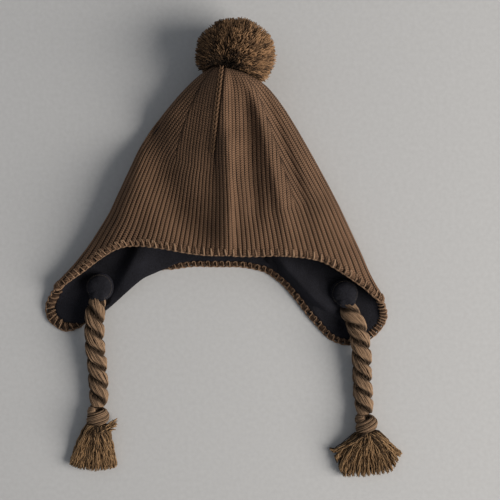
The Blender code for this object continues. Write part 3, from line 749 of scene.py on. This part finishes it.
def buildTassel(side, head, along, aside, yarnMaterial):
    shape = ties[side]["tassel"]
    chance = np.random.default_rng(shape["seed"] + 40)
    count, points = tassels["yarns"], tassels["points"]
    share = np.linspace(0, 1, points)[None, :]
    spread = chance.uniform(-1, 1, count)
    layer = chance.uniform(0, 1, count)
    rootAngle = chance.uniform(0, 2 * np.pi, count)
    rootOut = np.sqrt(chance.uniform(0, 1, count)) * tassels["rootRadius"]
    # Yarns gather into small locks
    lock = np.round(spread * tassels["locks"]) / tassels["locks"]
    spread = spread * (1 - tassels["lockShare"]) + lock * tassels["lockShare"]
    reach = shape["length"] * (1.0 - 0.10 * spread ** 2) * chance.uniform(0.90, 1.0, count)
    fanTurn = 1.0 + 0.25 * shape["wisp"]
    endAside = shape["width"] / 2 * np.sin(spread * fanTurn) / np.sin(fanTurn)
    endAside = endAside + shape["lean"] * shape["width"]
    rootAside = rootOut * np.cos(rootAngle) + 0.002 * spread
    fan = share ** 0.85 * (1.30 - 0.30 * share)
    sideways = rootAside[:, None] * (1 - fan) + endAside[:, None] * fan
    forward = -tassels["rootInside"] + (reach[:, None] + tassels["rootInside"]) * share
    if shape["wisp"]:
        pulled = ease((-spread - 0.55) / 0.4)[:, None]
        forward = forward * (1 - 0.66 * pulled * share)
        sideways = sideways - 0.003 * pulled * np.sin(np.pi * share)
        forward = forward * (1 - 0.36 * ease((spread - 0.5) / 0.5)[:, None] * share)
    floorRise = 0.0008 + layer * tassels["loft"] * (1 - 0.35 * np.abs(spread))
    rootRise = tassels["rootRise"] + rootOut * np.sin(rootAngle)
    rise = rootRise[:, None] * (1 - ease(share * 1.1)) + floorRise[:, None] * ease(share * 1.1)
    inTuft = chance.uniform(0, 1, (count, 1)) < shape["stray"]
    tuftReach = chance.uniform(0.55, 1.05, (count, 1)) * share
    tuftTurn = chance.uniform(0.1, 1.0, (count, 1))
    start, backwards = tassels["tuftForward"]
    forward = np.where(inTuft, start - backwards * tuftTurn * tuftReach, forward)
    start, outwards = tassels["tuftAside"]
    sideways = np.where(inTuft, start + outwards * tuftReach, sideways)
    rise = np.where(inTuft, rise + tassels["tuftRise"] * share, rise)
    crimp = tassels["crimp"] * ease(share * 4)
    phase = chance.uniform(0, 2 * np.pi, (count, 2))
    wave = reach[:, None] / tassels["crimpLength"] * 2 * np.pi * share
    sideways = sideways + crimp * np.sin(wave + phase[:, :1])
    rise = rise + crimp * np.cos(wave + phase[:, 1:])
    paths = head[None, None] * np.array([1, 1, 0.0]) + along * forward[..., None]
    paths = paths + aside * sideways[..., None] + upZ * rise[..., None]
    keepAbove(paths, tassels["lowest"])
    radius = tassels["yarnRadius"] * chance.uniform(0.7, 1.3, (count, 1)) * (1 - 0.25 * share ** 6)
    shade = np.clip(0.45 + 0.30 * chance.normal(0, 1, count), 0, 1)
    # painted shade: lower yarns in the tassel, and each yarn near the knot, take more of the dark root
    # colour
    depth = layer[:, None] * 0.75 + 0.35 * share
    tassel = yarnMesh("tassel" + side.capitalize(), paths, radius, 3, shade, depth)
    dress(tassel, yarnMaterial, "tie_yarn", "tassel_" + side)
    return tassel


tieYarn = softYarn("brushedTieYarn", "#403226", "#a88b70", "#1a110b", 0.15, 0.95)
tasselYarn = softYarn("cutTasselYarn", "#33251a", "#bd9a72", "#1a110b", 0.05, 0.70)
for side in ("left", "right"):
    tie, line, length = buildTie(side, tieYarn)
    knot, head, along, aside = buildKnot(side, line, tieYarn)
    tassel = buildTassel(side, head, along, aside, tasselYarn)
    print("tie", side, "length", round(length, 4))

# The knit
knit = {
    "wales": 56,
    "browSamples": 8,
    "napeSamples": 4,
    "rows": 112,
    "rowGrowth": 1.12,
    "ribOut": 0.00030,
    "ribIn": 0.00110,
    "ribShape": 0.32,
    "fullPitch": 0.0042,
    "course": 0.0021,
    "rollRadius": 0.0026,
    "rollRows": 5,
    "browShade": 0.05,
    "napeShade": 0.35,
    "rollShade": 0.09,
    "leastHem": 0.3,
    "hemRows": 4,
    "hemShade": 0.60,
    "innerRows": 22,
    "seamWidth": 0.0010,
    "seamDepth": 0.0012,
}
# The crown's seams: upper reach and across, lower reach and across, reach where the wales run
# on whole, strength of the seam's groove (which also sets the painted shade in it)
crownSeams = (
    (0.125, -1.00, 0.40, -1.00, 0.40, 0.0),
    (0.150, -0.76, 0.42, -0.57, 0.42, 0.45),
    (0.125, -0.20, 0.46, -0.09, 0.44, 0.60),
    (0.150, 0.65, 0.60, 0.63, 0.54, 0.25),
    (0.125, 1.00, 0.40, 1.00, 0.40, 0.0),
)
# Where the wales between two seams run straight up: left of the first seam, and so on
panelMiddles = (-1.0, -0.06, 0.12, 1.0)


def seamAcross(seam, reach):
    t = np.clip((reach - seam[0]) / (seam[2] - seam[0]), 0, 1)
    return seam[1] + (seam[3] - seam[1]) * t


# Number of the wale at a place, and how near a crown seam it is
def waleAt(isBrow, across, reach):
    half = knit["wales"] / 2
    plain = across * half
    phase = plain.copy()
    near = np.zeros_like(across)
    halfWidth = halfWidthAt(reach)
    inner = crownSeams[1:-1]
    bounds = [np.full_like(across, -1.01)] + [seamAcross(s, reach) for s in inner]
    bounds += [np.full_like(across, 1.01)]
    for index, middle in enumerate(panelMiddles):
        inside = (across >= bounds[index]) & (across < bounds[index + 1])
        leftEnd = crownSeams[index][4]
        rightEnd = crownSeams[index + 1][4]
        end = np.where(across < middle, leftEnd, rightEnd)
        shrink = np.minimum(1.0, reach / end) ** 0.9
        bent = (middle + (across - middle) * shrink) * half
        phase = np.where(inside, bent, phase)
    for seam in inner:
        away = (across - seamAcross(seam, reach)) * halfWidth / knit["seamWidth"]
        fade = ease((seam[4] - reach) / 0.06)
        near = np.maximum(near, seam[5] * fade * np.exp(-away * away))
    shrinkBack = np.minimum(1.0, reach / 0.40) ** 0.8
    phase = np.where(isBrow, phase, np.sign(across) * half - (np.sign(across) - across) * half * shrinkBack)
    return phase, np.where(isBrow, near, 0.0)


def knitColumns():
    brow, nape = [
        np.arange(knit["wales"] * samples) * 2.0 / (knit["wales"] * samples)
        for samples in (knit["browSamples"], knit["napeSamples"])
    ]
    return np.concatenate([brow, 2.0 + nape, [4.0]])


# Rim styles by place round the edge: the turned edge's thickness as a share, then in mm the width
# of its hem (below nought the fleece laps over it), the stitch legs outside and inside, and the
# pitch. Shares of the pitch: how far a leg's return lies (0 for a single leg), and the slant. Last,
# the stitch yarn's thickness and its lightness, as shares of their full values; the lightness is
# painted shade, dimming the stitches more round the brow and the nape than at the flap tips
rimColumns = (
    "around", "roll", "hem", "outLeg", "inLeg", "pitch", "outLoop", "inLoop", "slant", "thick", "paintedLightness",
)
rimStyles = (
    (0.00, 1.00, 5.5, 4.0, 6.0, 5.6, 0.00, 0.30, 0.50, 0.72, 0.75),
    (0.10, 1.00, 4.0, 4.0, 4.0, 5.6, 0.42, 0.35, 0.80, 0.80, 0.75),
    (0.50, 1.00, 4.0, 3.4, 4.0, 5.8, 0.42, 0.35, 0.70, 0.95, 0.70),
    (0.66, 1.00, 4.0, 2.6, 4.0, 6.8, 0.00, 0.35, 0.15, 1.45, 0.60),
    (1.45, 1.00, 4.0, 2.6, 4.0, 7.0, 0.00, 0.35, 0.05, 1.45, 0.60),
    (1.60, 1.00, 4.0, 3.0, 4.0, 6.8, 0.00, 0.35, 0.10, 1.40, 0.65),
    (1.88, 1.00, 4.0, 3.2, 4.0, 6.4, 0.25, 0.35, 0.30, 1.15, 0.65),
    (2.00, 1.00, 3.0, 3.6, 3.6, 3.6, 0.00, 0.00, 0.20, 0.90, 0.55),
    (2.12, 1.00, 2.8, 3.6, 3.8, 3.2, 0.00, 0.00, 0.25, 0.90, 0.55),
    (2.28, 0.90, 2.2, 4.0, 2.6, 5.6, 0.00, 0.30, 0.20, 0.80, 0.50),
    (2.50, 0.90, 2.2, 4.0, 2.2, 6.8, 0.00, 0.42, 0.10, 0.80, 0.50),
    (3.36, 0.85, 1.8, 4.0, 2.0, 6.4, 0.00, 0.42, 0.10, 0.80, 0.50),
    (3.46, 0.60, -1.6, 4.0, 0.6, 6.2, 0.00, 0.00, 0.10, 0.70, 0.40),
    (3.52, 0.40, -3.0, 4.0, 0.2, 6.2, 0.00, 0.00, 0.20, 0.60, 0.40),
    (3.73, 0.40, -3.0, 4.0, 0.2, 6.0, 0.00, 0.00, 0.20, 0.60, 0.40),
    (3.80, 1.00, 4.5, 4.0, 5.0, 5.6, 0.00, 0.30, 0.40, 0.72, 0.70),
    (3.90, 1.00, 6.0, 4.0, 6.5, 5.4, 0.00, 0.30, 0.50, 0.72, 0.75),
    (4.00, 1.00, 5.5, 4.0, 6.0, 5.6, 0.00, 0.30, 0.50, 0.72, 0.75),
)


def rimStyle(name, around):
    column = rimColumns.index(name)
    places = [row[0] for row in rimStyles]
    return np.interp(np.mod(around, 4.0), places, [row[column] for row in rimStyles])


def rollAt(around):
    return knit["rollRadius"] * rimStyle("roll", around)


def ribRelief(phase, pitch):
    wave = np.abs(np.cos(np.pi * phase)) ** knit["ribShape"]
    size = np.minimum(1.0, pitch / knit["fullPitch"])
    return (wave * (knit["ribOut"] + knit["ribIn"]) - knit["ribIn"]) * size


def buildKnit(material):
    around = knitColumns()
    columns = len(around)
    isBrow, across = sideAndAcross(around)
    across[-1] = -1.0
    tip = sections[0][0]
    share = (np.arange(knit["rows"] + 1) / knit["rows"]) ** knit["rowGrowth"]
    # the first row starts just off the tip and is drawn together there below
    share[0] = 0.004
    reach = tip + (rimReach(around)[None, :] - tip) * share[:, None]
    aroundGrid = np.broadcast_to(around, reach.shape)
    surface = hatPoint(aroundGrid, reach)
    phase, near = waleAt(np.broadcast_to(isBrow, reach.shape), np.broadcast_to(across, reach.shape), reach)
    relief = ribRelief(phase, halfWidthAt(reach) / (knit["wales"] / 2) * 1.4)
    outer = surface + hatNormal(aroundGrid, reach) * (relief - near * knit["seamDepth"])[..., None]
    courses = reach * hat["reach"] / knit["course"]
    layers = [outer]
    uvs = [np.stack([phase + 0.5, courses], axis=-1)]
    seams = [near]

    def addRow(place, course, seam):
        layers.append(place[None])
        uvs.append(np.stack([phase[-1] + 0.5, course], axis=-1)[None])
        seams.append(np.broadcast_to(seam, (1, columns)))

    # The edge turns over the fleece: a roll and a narrow hem. Both carry painted shade: the roll more at
    # each row round it and more on the nape's side, the hem evenly
    _, away, rimNormal = rimFrame(around)
    radius = rollAt(around)[:, None]
    rimRelief = relief[-1][:, None]
    centre = surface[-1] - rimNormal * radius
    for step in range(1, knit["rollRows"] + 1):
        angle = math.pi * step / knit["rollRows"]
        facing = rimNormal * math.cos(angle) + away * math.sin(angle)
        dark = np.where(isBrow, knit["browShade"], knit["napeShade"]) + knit["rollShade"] * step
        addRow(centre + facing * (radius + rimRelief), courses[-1] + step * 0.8, dark)
    hem = np.maximum(knit["leastHem"], rimStyle("hem", around)) * mm
    for step in range(1, knit["hemRows"] + 1):
        width = hem * step / knit["hemRows"]
        inAround, inReach = insideRim(around, width)
        place = hatPoint(inAround, inReach)
        facing = hatNormal(inAround, inReach)
        course = courses[-1] + 4 + width / knit["course"]
        addRow(place - facing * (2 * radius + rimRelief), course, knit["hemShade"])
    layers.append((place - facing * (hat["knitWall"] + 0.0001))[None])
    uvs.append(uvs[-1] + 1.0)
    seams.append(np.zeros((1, columns)))
    # The knit's inner face, up to the tip
    for step in range(1, knit["innerRows"] + 1):
        back = inReach + (tip - inReach) * step / knit["innerRows"]
        back = np.maximum(back, tip + 0.012)
        mixAround = inAround + (around - inAround) * step / knit["innerRows"]
        depth = np.minimum(hat["knitWall"], 0.4 * halfWidthAt(back))[:, None]
        place = hatPoint(mixAround, back) - hatNormal(mixAround, back) * depth
        addRow(place, back * hat["reach"] / knit["course"], 0.0)
    places = np.concatenate(layers, axis=0)
    keepAbove(places, 0.0001)
    # The tip and the inner end close to points
    places[0] = places[0].mean(axis=0)
    places[-1] = places[-1].mean(axis=0)
    places[:, -1] = places[:, 0]
    piece = gridPiece("knitCrown", places, 0)
    setUv(piece, "knitUv", np.concatenate(uvs, axis=0))
    setAttribute(piece, "seam", np.concatenate(seams, axis=0))
    mergeDoubles(piece, 0.00001)
    dress(piece, material, "knit", "knit_shell")
    print("knit", places.shape, "triangles", sum(len(p.vertices) - 2 for p in piece.data.polygons))


buildKnit(ribKnit())

# Where the crown's panels meet, the narrowing leaves a chain of plain stitches. The path of half a
# stitch: along in stitches, away from the chain's middle in halves of its width, lift in mm
chain = {
    "stitches": 19,
    "from": 0.136,
    "to": 0.372,
    "aside": 0.0026,
    "half": 0.0014,
    "radius": 0.00075,
    "along": (1.20, 0.75, 0.35, 0.12),
    "away": (0.1, 0.6, 1.0, 1.1),
    "lift": (-0.2, 0.5, 0.6, -0.3),
}


def buildChain(material):
    places = np.linspace(chain["from"], chain["to"], chain["stitches"] + 1)
    step = places[1] - places[0]
    lift = np.array(chain["lift"])[:, None] * mm
    paths = []
    for start in places[:-1]:
        for side in (-1, 1):
            reach = start + step * np.array(chain["along"])
            away = -chain["aside"] + side * chain["half"] * np.array(chain["away"])
            around = seamAcross(crownSeams[2], reach) + away / halfWidthAt(reach) + 1.0
            path = hatPoint(around, reach) + hatNormal(around, reach) * lift
            paths.append(evenSteps(smoothLine(path, 20), 7))
    piece = yarnMesh("crownChain", np.array(paths), chain["radius"], 6, 0.5)
    dress(piece, material, "knit")
    print("chain stitches", chain["stitches"])


buildChain(softYarn("acrylicChainYarn", "#54402f", "#8a6c53", "#54402f", 0.0, 0.02))

# The fleece lies inside the knit and ends just short of its hem
lining = {
    "startReach": 0.319,
    "rows": 54,
    "outerRows": 6,
    "browColumns": 90,
    "napeColumns": 200,
    "ripple": 0.0005,
    "toHem": 0.0002,
}


def liningPlaces(around, reach, depth):
    isBrow, across = sideAndAcross(around)
    place = hatPoint(around, reach) - hatNormal(around, reach) * depth
    lift = hat["liningFold"] * creaseSum(liningFolds, across, reach, 0.6)
    # small soft ripples of the fleece
    ripple = lining["ripple"] * np.sin(across * 31 + reach * 17) * np.sin(reach * 43 + across * 11)
    place[..., 2] += np.where(isBrow, 0.0, lift + ripple)
    return place


def buildLining(material):
    brow = np.linspace(0, 2, lining["browColumns"], endpoint=False)
    nape = np.linspace(2, 4, lining["napeColumns"], endpoint=False)
    around = np.concatenate([brow, nape, [4.0]])
    endAround, endReach = insideRim(around, rimStyle("hem", around) * mm + lining["toHem"])
    start = lining["startReach"]
    bottom = hat["knitWall"] + hat["gap"]
    outward = [(step / lining["outerRows"], bottom) for step in range(lining["outerRows"] + 1)]
    inward = [(1 - step / lining["rows"], bottom + hat["liningWall"]) for step in range(lining["rows"] + 1)]
    layers = [
        liningPlaces(around + (endAround - around) * t, start + (endReach - start) * t, depth)
        for t, depth in outward + inward
    ]
    places = np.stack(layers + layers[:1], axis=0)
    places[:, -1] = places[:, 0]
    piece = gridPiece("fleeceLining", places)
    dress(piece, material, "fleece", "lining")
    print("lining", places.shape)


buildLining(navyFleece("polarFleece"))

# Yarn stitched over the edge all round; "overEdge" is in radians, from the outer face to the fleece
stitches = {
    "radius": 0.00064,
    "points": 22,
    "seed": 21,
    "edgeRadius": 0.00075,
    "edgePoints": 860,
    "waveLength": 0.0062,
    "waveOut": 0.0003,
    "waveUp": 0.0009,
    "shortestLoop": 0.2,
    "lastGap": 0.0025,
    "overEdge": (0.60, 1.24, 1.88, 2.52),
}


# The rim's length, and what gives the place round the edge at a length along it
def measureRim():
    around = np.linspace(0, 4, 4001)
    run = runAlong(rimPoint(around))
    return run[-1], lambda length: np.interp(np.mod(length, run[-1]), run, around)


# A place beside the rim: inside by a distance on the outer (+1) or the fleece (-1) face
def besideRim(around, distance, face, lift):
    place, reach = insideRim(np.array([around]), np.array([distance]))
    point = hatPoint(place, reach)[0]
    normal = hatNormal(place, reach)[0]
    if face > 0:
        return point + normal * lift
    return point - normal * (2 * rollAt(around) + lift)


# A stitch's points before and behind the edge: along in pitches, inside the rim, lift in radii
def legPoints(outLeg, inLeg, outLoop, inLoop, slant):
    before = [(-slant * 0.6, outLeg, -0.8)]
    if outLoop > stitches["shortestLoop"]:
        before = [
            (-outLoop, 0.0006, 0.2),
            (-outLoop - slant * 0.2, outLeg * 0.6, 0.8),
            (-outLoop * 0.9 - slant * 0.4, outLeg * 0.95, 0.6),
        ]
    before += [(-slant * 0.5, outLeg * 0.85, 0.8), (-slant * 0.2, outLeg * 0.4, 0.9)]
    behind = [(0.14 + slant * 0.7, inLeg * 1.1, -1.0)]
    if inLoop > stitches["shortestLoop"]:
        behind = [
            (0.12 + slant * 0.5 + inLoop * 0.5, inLeg, 0.6),
            (0.12 + slant * 0.2 + inLoop, inLeg * 0.75, 0.6),
            (0.12 + inLoop, inLeg * 0.25, 0.1),
        ]
    return before, [(0.10 + slant * 0.2, inLeg * 0.4, 0.9), (0.12 + slant * 0.5, inLeg * 0.85, 0.7)] + behind


def stitchPath(at, aroundAt, chance):
    radius = stitches["radius"]
    style = {name: float(rimStyle(name, aroundAt(at))) for name in rimColumns[1:]}
    pitch = style["pitch"] * mm
    outLeg = style["outLeg"] * mm * chance.uniform(0.85, 1.1)
    inLeg = style["inLeg"] * mm * chance.uniform(0.85, 1.1)
    before, behind = legPoints(outLeg, inLeg, style["outLoop"], style["inLoop"], style["slant"])
    points = [besideRim(aroundAt(at + t * pitch), inside, 1, radius * lift) for t, inside, lift in before]
    here = np.array([aroundAt(at + 0.08 * pitch)])
    _, away, normal = rimFrame(here)
    roll = float(rollAt(here)[0])
    centre = rimPoint(here)[0] - normal[0] * roll
    for angle in stitches["overEdge"]:
        facing = normal[0] * math.cos(angle) + away[0] * math.sin(angle)
        points.append(centre + facing * (roll + radius * 0.8))
    points += [besideRim(aroundAt(at + t * pitch), inside, -1, radius * lift) for t, inside, lift in behind]
    return evenSteps(smoothLine(points, 60), stitches["points"])


# The yarn that runs from stitch to stitch along the very edge
def buildEdgeYarn(rimLength, aroundAt):
    radius = stitches["edgeRadius"]
    at = np.linspace(0, rimLength, stitches["edgePoints"], endpoint=False)
    spot = aroundAt(at)
    wave = np.sin(at / stitches["waveLength"] * 2 * np.pi)
    _, away, normal = rimFrame(spot)
    roll = rollAt(spot)
    # it lies under the fleece where that laps over the edge
    outward = roll + radius * 0.55 + np.minimum(rimStyle("hem", spot), 0) * mm
    edge = rimPoint(spot) - normal * roll[:, None] + away * (outward + stitches["waveOut"] * wave)[:, None]
    edge = edge + normal * (stitches["waveUp"] * wave)[:, None]
    keepAbove(edge, radius)
    return yarnMesh("edgeYarn", edge[None], radius, 6, 0.30, closed=True)


def buildEdgeStitches(material):
    rimLength, aroundAt = measureRim()
    chance = np.random.default_rng(stitches["seed"])
    radius = stitches["radius"]
    places = []
    at = 0.0
    while at < rimLength - stitches["lastGap"]:
        places.append(at)
        at += float(rimStyle("pitch", aroundAt(at))) * mm * chance.uniform(0.92, 1.08)
    paths = np.array([stitchPath(at, aroundAt, chance) for at in places])
    keepAbove(paths, radius * 0.9)
    spots = aroundAt(places)
    size = radius * chance.uniform(0.85, 1.15, (len(paths), 1)) * rimStyle("thick", spots)[:, None]
    # painted shade: the lightness column dims each stitch's random tone round the rim
    shade = chance.uniform(0.3, 1.0, len(paths)) * rimStyle("paintedLightness", spots)
    legs = yarnMesh("legs", paths, size, 6, shade)
    piece = joinPieces("edgeStitches", [legs, buildEdgeYarn(rimLength, aroundAt)])
    dress(piece, material, "edge_yarn", "edge_stitching")
    print("stitches", len(places))


buildEdgeStitches(softYarn("overcastEdgeYarn", "#584233", "#b39478", "#584233", 0.0, 0.02))

# Fleece rounds over the tie roots, sewn on with a thin thread in small stitches
patches = {
    "diameter": 0.0262,
    "wall": 0.0015,
    "room": 0.0117,
    "archHalf": 0.0088,
    "rings": 26,
    "sides": 72,
    "seamRing": 0.86,
    "threadRing": 0.88,
    "threadStitches": 44,
    "threadRadius": 0.00016,
    "threadLift": (0.0, 0.25, 0.35, 0.25, 0.0),
}


# Height of a patch's top, domed and with an arch where the tie comes out; then how far out towards
# the tie the place lies
def patchTop(side, x, y, ring):
    route = np.array(ties[side]["route"])
    exitWay = unit(route[3, :2] - route[1, :2])
    outward = x * exitWay[0] + y * exitWay[1]
    aside = x * exitWay[1] - y * exitWay[0]
    rootAside = route[1, 0] * exitWay[1] - route[1, 1] * exitWay[0]
    dome = np.sqrt(np.maximum(0, 1 - ring ** 3))
    arch = np.sqrt(np.maximum(0, 1 - ((aside - rootAside) / patches["archHalf"]) ** 4))
    arch = arch * ease(4 * outward / patches["diameter"] + 0.2)
    return patches["wall"] + patches["room"] * np.maximum(dome, arch), outward


def buildPatch(side, material, threadMaterial):
    place = patchPlace(side)
    radius = patches["diameter"] / 2
    ring = np.linspace(0, 1, patches["rings"] + 1)[:, None]
    turn = np.linspace(0, 2 * np.pi, patches["sides"] + 1)[None, :]
    x = radius * ring * np.cos(turn)
    y = radius * ring * np.sin(turn)
    pucker = 0.0004 * np.sin(turn * 9 + 2 * np.sin(turn * 2)) * ring ** 2
    seam = 0.0007 * np.exp(-((ring - patches["seamRing"]) / 0.05) ** 2)
    height = patchTop(side, x, y, ring)[0] + pucker - seam
    top = np.stack([x, y, height], axis=-1) + place
    under = top - patches["wall"] * upZ
    piece = gridPiece("tiePatch" + side.capitalize(), np.concatenate([top, under[::-1]], axis=0))
    dress(piece, material, "fleece", "tie_patch_" + side)
    lift = np.array(patches["threadLift"]) * mm
    threads = []
    for stitch in range(patches["threadStitches"]):
        turn = (stitch + np.linspace(0, 0.62, 5)) * 2 * np.pi / patches["threadStitches"]
        x = np.cos(turn) * radius * patches["threadRing"]
        y = np.sin(turn) * radius * patches["threadRing"]
        height, outward = patchTop(side, x, y, patches["threadRing"])
        # none crosses the opening that the tie comes out of
        if outward.max() <= radius * 0.72:
            threads.append(np.stack([x, y, height - 0.0004 + lift], axis=-1) + place)
    name = "patchThread" + side.capitalize()
    dress(yarnMesh(name, np.array(threads), patches["threadRadius"], 4, 0.5), threadMaterial, "fleece")


patchFleece = navyFleece("polarFleecePatch")
sewingThread = softYarn("polyesterThread", "#4a4640", "#6d665c", "#4a4640", 0.0, 0.02)
for side in ("left", "right"):
    buildPatch(side, patchFleece, sewingThread)
print("patches sewn")

# The yarn ball on the tip. The dent where its yarns are tied faces along "parting"
ball = {
    "width": 0.0735,
    "depth": 0.0690,
    "height": 0.0700,
    "aside": 0.14,
    "beyond": 0.16,
    "rise": 0.485,
    "parting": (-0.30, -0.62, 0.72),
    "partingAngle": 34.0,
    "partingDepth": 0.42,
    "yarns": 11000,
    "points": 4,
    "radius": 0.00043,
    "visibleFrom": 0.25,
    "shortest": 0.42,
    "probes": 26,
    "shadeCoreSize": 0.78,
    "seed": 5,
}


def ballMiddle():
    tip = hatPoint(np.array([1.0]), np.array([sections[0][0]]))[0]
    middle = tip + np.array([ball["aside"] * ball["width"], ball["beyond"] * ball["depth"], 0.0])
    middle[2] = ball["rise"] * ball["height"]
    return middle


# Angle from the parting, as a share of its own
def fromParting(ways, parting):
    return np.degrees(np.arccos(np.clip(ways @ parting, -1, 1))) / ball["partingAngle"]


# Two crossed waves over the ball's directions
def crossedWaves(ways, first, second, turns):
    return np.sin(ways @ np.array(first) + turns[0]) * np.sin(ways @ np.array(second) + turns[1])


def buildBall(material):
    chance = np.random.default_rng(ball["seed"])
    middle = ballMiddle()
    half = np.array([ball["width"], ball["depth"], ball["height"]]) / 2
    parting = unit(np.array(ball["parting"]))
    count, points = ball["yarns"], ball["points"]
    # Even spread of directions over the ball
    index = np.arange(count) + 0.5
    polar = np.arccos(1 - 2 * index / count)
    turn = np.pi * (1 + 5 ** 0.5) * index
    ways = np.stack([np.sin(polar) * np.cos(turn), np.sin(polar) * np.sin(turn), np.cos(polar)], axis=-1)
    ways = unit(ways + chance.normal(0, 0.035, ways.shape))
    lumps = 0.045 * crossedWaves(ways, (5.0, 3.0, 2.0), (-2.0, 6.0, 4.0), (1.0, 0.0))
    length = (0.985 + lumps * 0.7) * chance.uniform(0.90, 1.03, count)
    length = length * (1 - ball["partingDepth"] * np.exp(-fromParting(ways, parting) ** 4))
    tips = middle + ways * half * length[:, None]
    # The yarns start at the tie near the parting and bend outwards
    roots = middle + parting * half * 0.18 + ways * half * 0.16 + chance.normal(0, 0.0012, ways.shape)
    bend = middle + ways * half * 0.62 + parting * half * 0.20
    bend = bend + chance.normal(0, 0.0016, ways.shape)
    # Each yarn ends where it would run into the crown's tip
    start, probes = ball["visibleFrom"], ball["probes"]
    probe = np.linspace(start, 1.0, probes)
    blocked = insideCrown(curveAt(roots, bend, tips, np.broadcast_to(probe, (count, probes))))
    first = np.where(blocked.any(axis=1), blocked.argmax(axis=1), probes)
    end = probe[np.maximum(first - 1, 0)]
    keep = end > ball["shortest"]
    roots, bend, tips, ways, end = [values[keep] for values in (roots, bend, tips, ways, end)]
    count = len(roots)
    t = start + (end[:, None] - start) * np.linspace(0, 1, points)[None, :]
    paths = curveAt(roots, bend, tips, t)
    paths[:, 1:] += chance.normal(0, 0.00040, paths[:, 1:].shape)
    keepAbove(paths, 0.0008)
    radius = ball["radius"] * chance.uniform(0.7, 1.3, (count, 1)) * np.linspace(1.0, 0.85, points)
    # painted light: yarns lighter towards the right and far side; the darker tufts in between are the yarn's
    # own mottling
    tuft = crossedWaves(ways, (14.0, 6.0, 5.0), (-5.0, 13.0, 8.0), (0.0, 1.0))
    shade = chance.normal(0.42, 0.30, count) + 0.16 * ways[:, 0] + 0.14 * ways[:, 1] + 0.36 * tuft
    # painted shade: yarns near the parting are darker
    apart = fromParting(ways, parting)
    shade = np.clip(shade - 0.35 * np.exp(-apart ** 2), 0, 1)
    # a few yarns keep the palest shade, whatever their fuzz
    shade = np.where(chance.uniform(0, 1, count) < 0.035, 1.5, shade)
    # painted shade: near the parting the dark root colour reaches further along the yarns
    depth = np.linspace(start, 1.0, points)[None, :] * (1 - 0.45 * np.exp(-apart[:, None] ** 3))
    yarns = yarnMesh("yarnBall", paths, radius, 3, shade, depth)
    piece = joinPieces("yarnBall", [yarns, buildBallShadeCore(middle, half, parting)])
    dress(piece, material, "pompom_yarn", "pompom")
    print("ball yarns", count)


def curveAt(roots, bend, tips, t):
    t = t[..., None]
    return roots[:, None] * (1 - t) ** 2 + 2 * bend[:, None] * t * (1 - t) + tips[:, None] * t * t


# True for places above the underside of the crown, inside its outline
def insideCrown(places):
    reach, across = fanPlace(places)
    low = hatPoint(3.0 - np.clip(across, -0.999, 0.999), reach)[..., 2] - 0.0008
    return (np.abs(across) < 1.04) & (reach > sections[0][0] - 0.002) & (places[..., 2] > low)


# A dark inner ball of painted shade that closes the gaps between the yarns, drawn back from the crown
def buildBallShadeCore(middle, half, parting):
    deselectAll()
    bpy.ops.mesh.primitive_ico_sphere_add(subdivisions=4, radius=1.0, location=(0, 0, 0))
    shadeCore = bpy.context.object
    co = np.zeros(len(shadeCore.data.vertices) * 3)
    shadeCore.data.vertices.foreach_get("co", co)
    co = co.reshape(-1, 3) * half * ball["shadeCoreSize"]
    co = co - parting * np.maximum(0, co @ parting)[:, None] * 0.55 + middle
    keepAbove(co, 0.001)
    for _ in range(12):
        inside = insideCrown(co)
        co[inside] += (middle - parting * half * 0.3 - co[inside]) * 0.12
    shadeCore.data.vertices.foreach_set("co", co.reshape(-1))
    for name in ("along", "shade"):
        setAttribute(shadeCore, name, np.zeros(len(co)))
    bpy.ops.object.shade_smooth()
    return shadeCore


buildBall(softYarn("cutPompomYarn", "#20150e", "#a07d5c", "#0b0704", 0.30, 1.00))


# Floor and light
stage = {
    "floor": "#c4c7ca",
    "floorSize": 6.0,
    "sky": "#e3e4e5",
    "skyStrength": 0.21,
    "aim": (0.02, -0.03, 0.0),
    "windowLight": {"place": (2.38, -0.66, 1.50), "size": 2.0, "power": 110.0, "tint": "#fff6ec"},
    "fillLight": {"place": (-0.9, 0.7, 1.3), "size": 1.6, "power": 2.0, "tint": "#eef3ff"},
}


def addLight(name):
    settings = stage[name]
    bpy.ops.object.light_add(type="AREA", location=settings["place"])
    light = bpy.context.object
    light.name = name
    light.data.size = settings["size"]
    light.data.energy = settings["power"]
    light.data.color = hexColour(settings["tint"])[:3]
    aim = Vector(stage["aim"]) - Vector(settings["place"])
    light.rotation_euler = aim.to_track_quat("-Z", "Y").to_euler()


# A plain matt studio floor, with a fine grain
def studioFloor():
    material, tree, shader = newMaterial("paleStudioFloor", 0.9, 0.0, "#ffffff")
    tone = remap(tree, grain(tree, objectPlace(tree), 260.0, 4.0), 0.3, 0.7, 0.96, 1.03)
    tint = mixColours(tree, 1.0, hexColour(stage["floor"]), tone, "MULTIPLY")
    tree.links.new(tint, shader.inputs["Base Color"])
    return material


def buildStage():
    deselectAll()
    bpy.ops.mesh.primitive_plane_add(size=stage["floorSize"], location=(0, 0, 0))
    floor = bpy.context.object
    floor.name = "studioFloor"
    floor.data.materials.append(studioFloor())
    world = bpy.context.scene.world or bpy.data.worlds.new("studio")
    bpy.context.scene.world = world
    world.use_nodes = True
    sky = world.node_tree.nodes["Background"]
    sky.inputs[0].default_value = hexColour(stage["sky"])
    sky.inputs[1].default_value = stage["skyStrength"]
    addLight("windowLight")
    addLight("fillLight")
    bpy.context.scene.view_settings.view_transform = "Standard"


buildStage()
print("stage set")
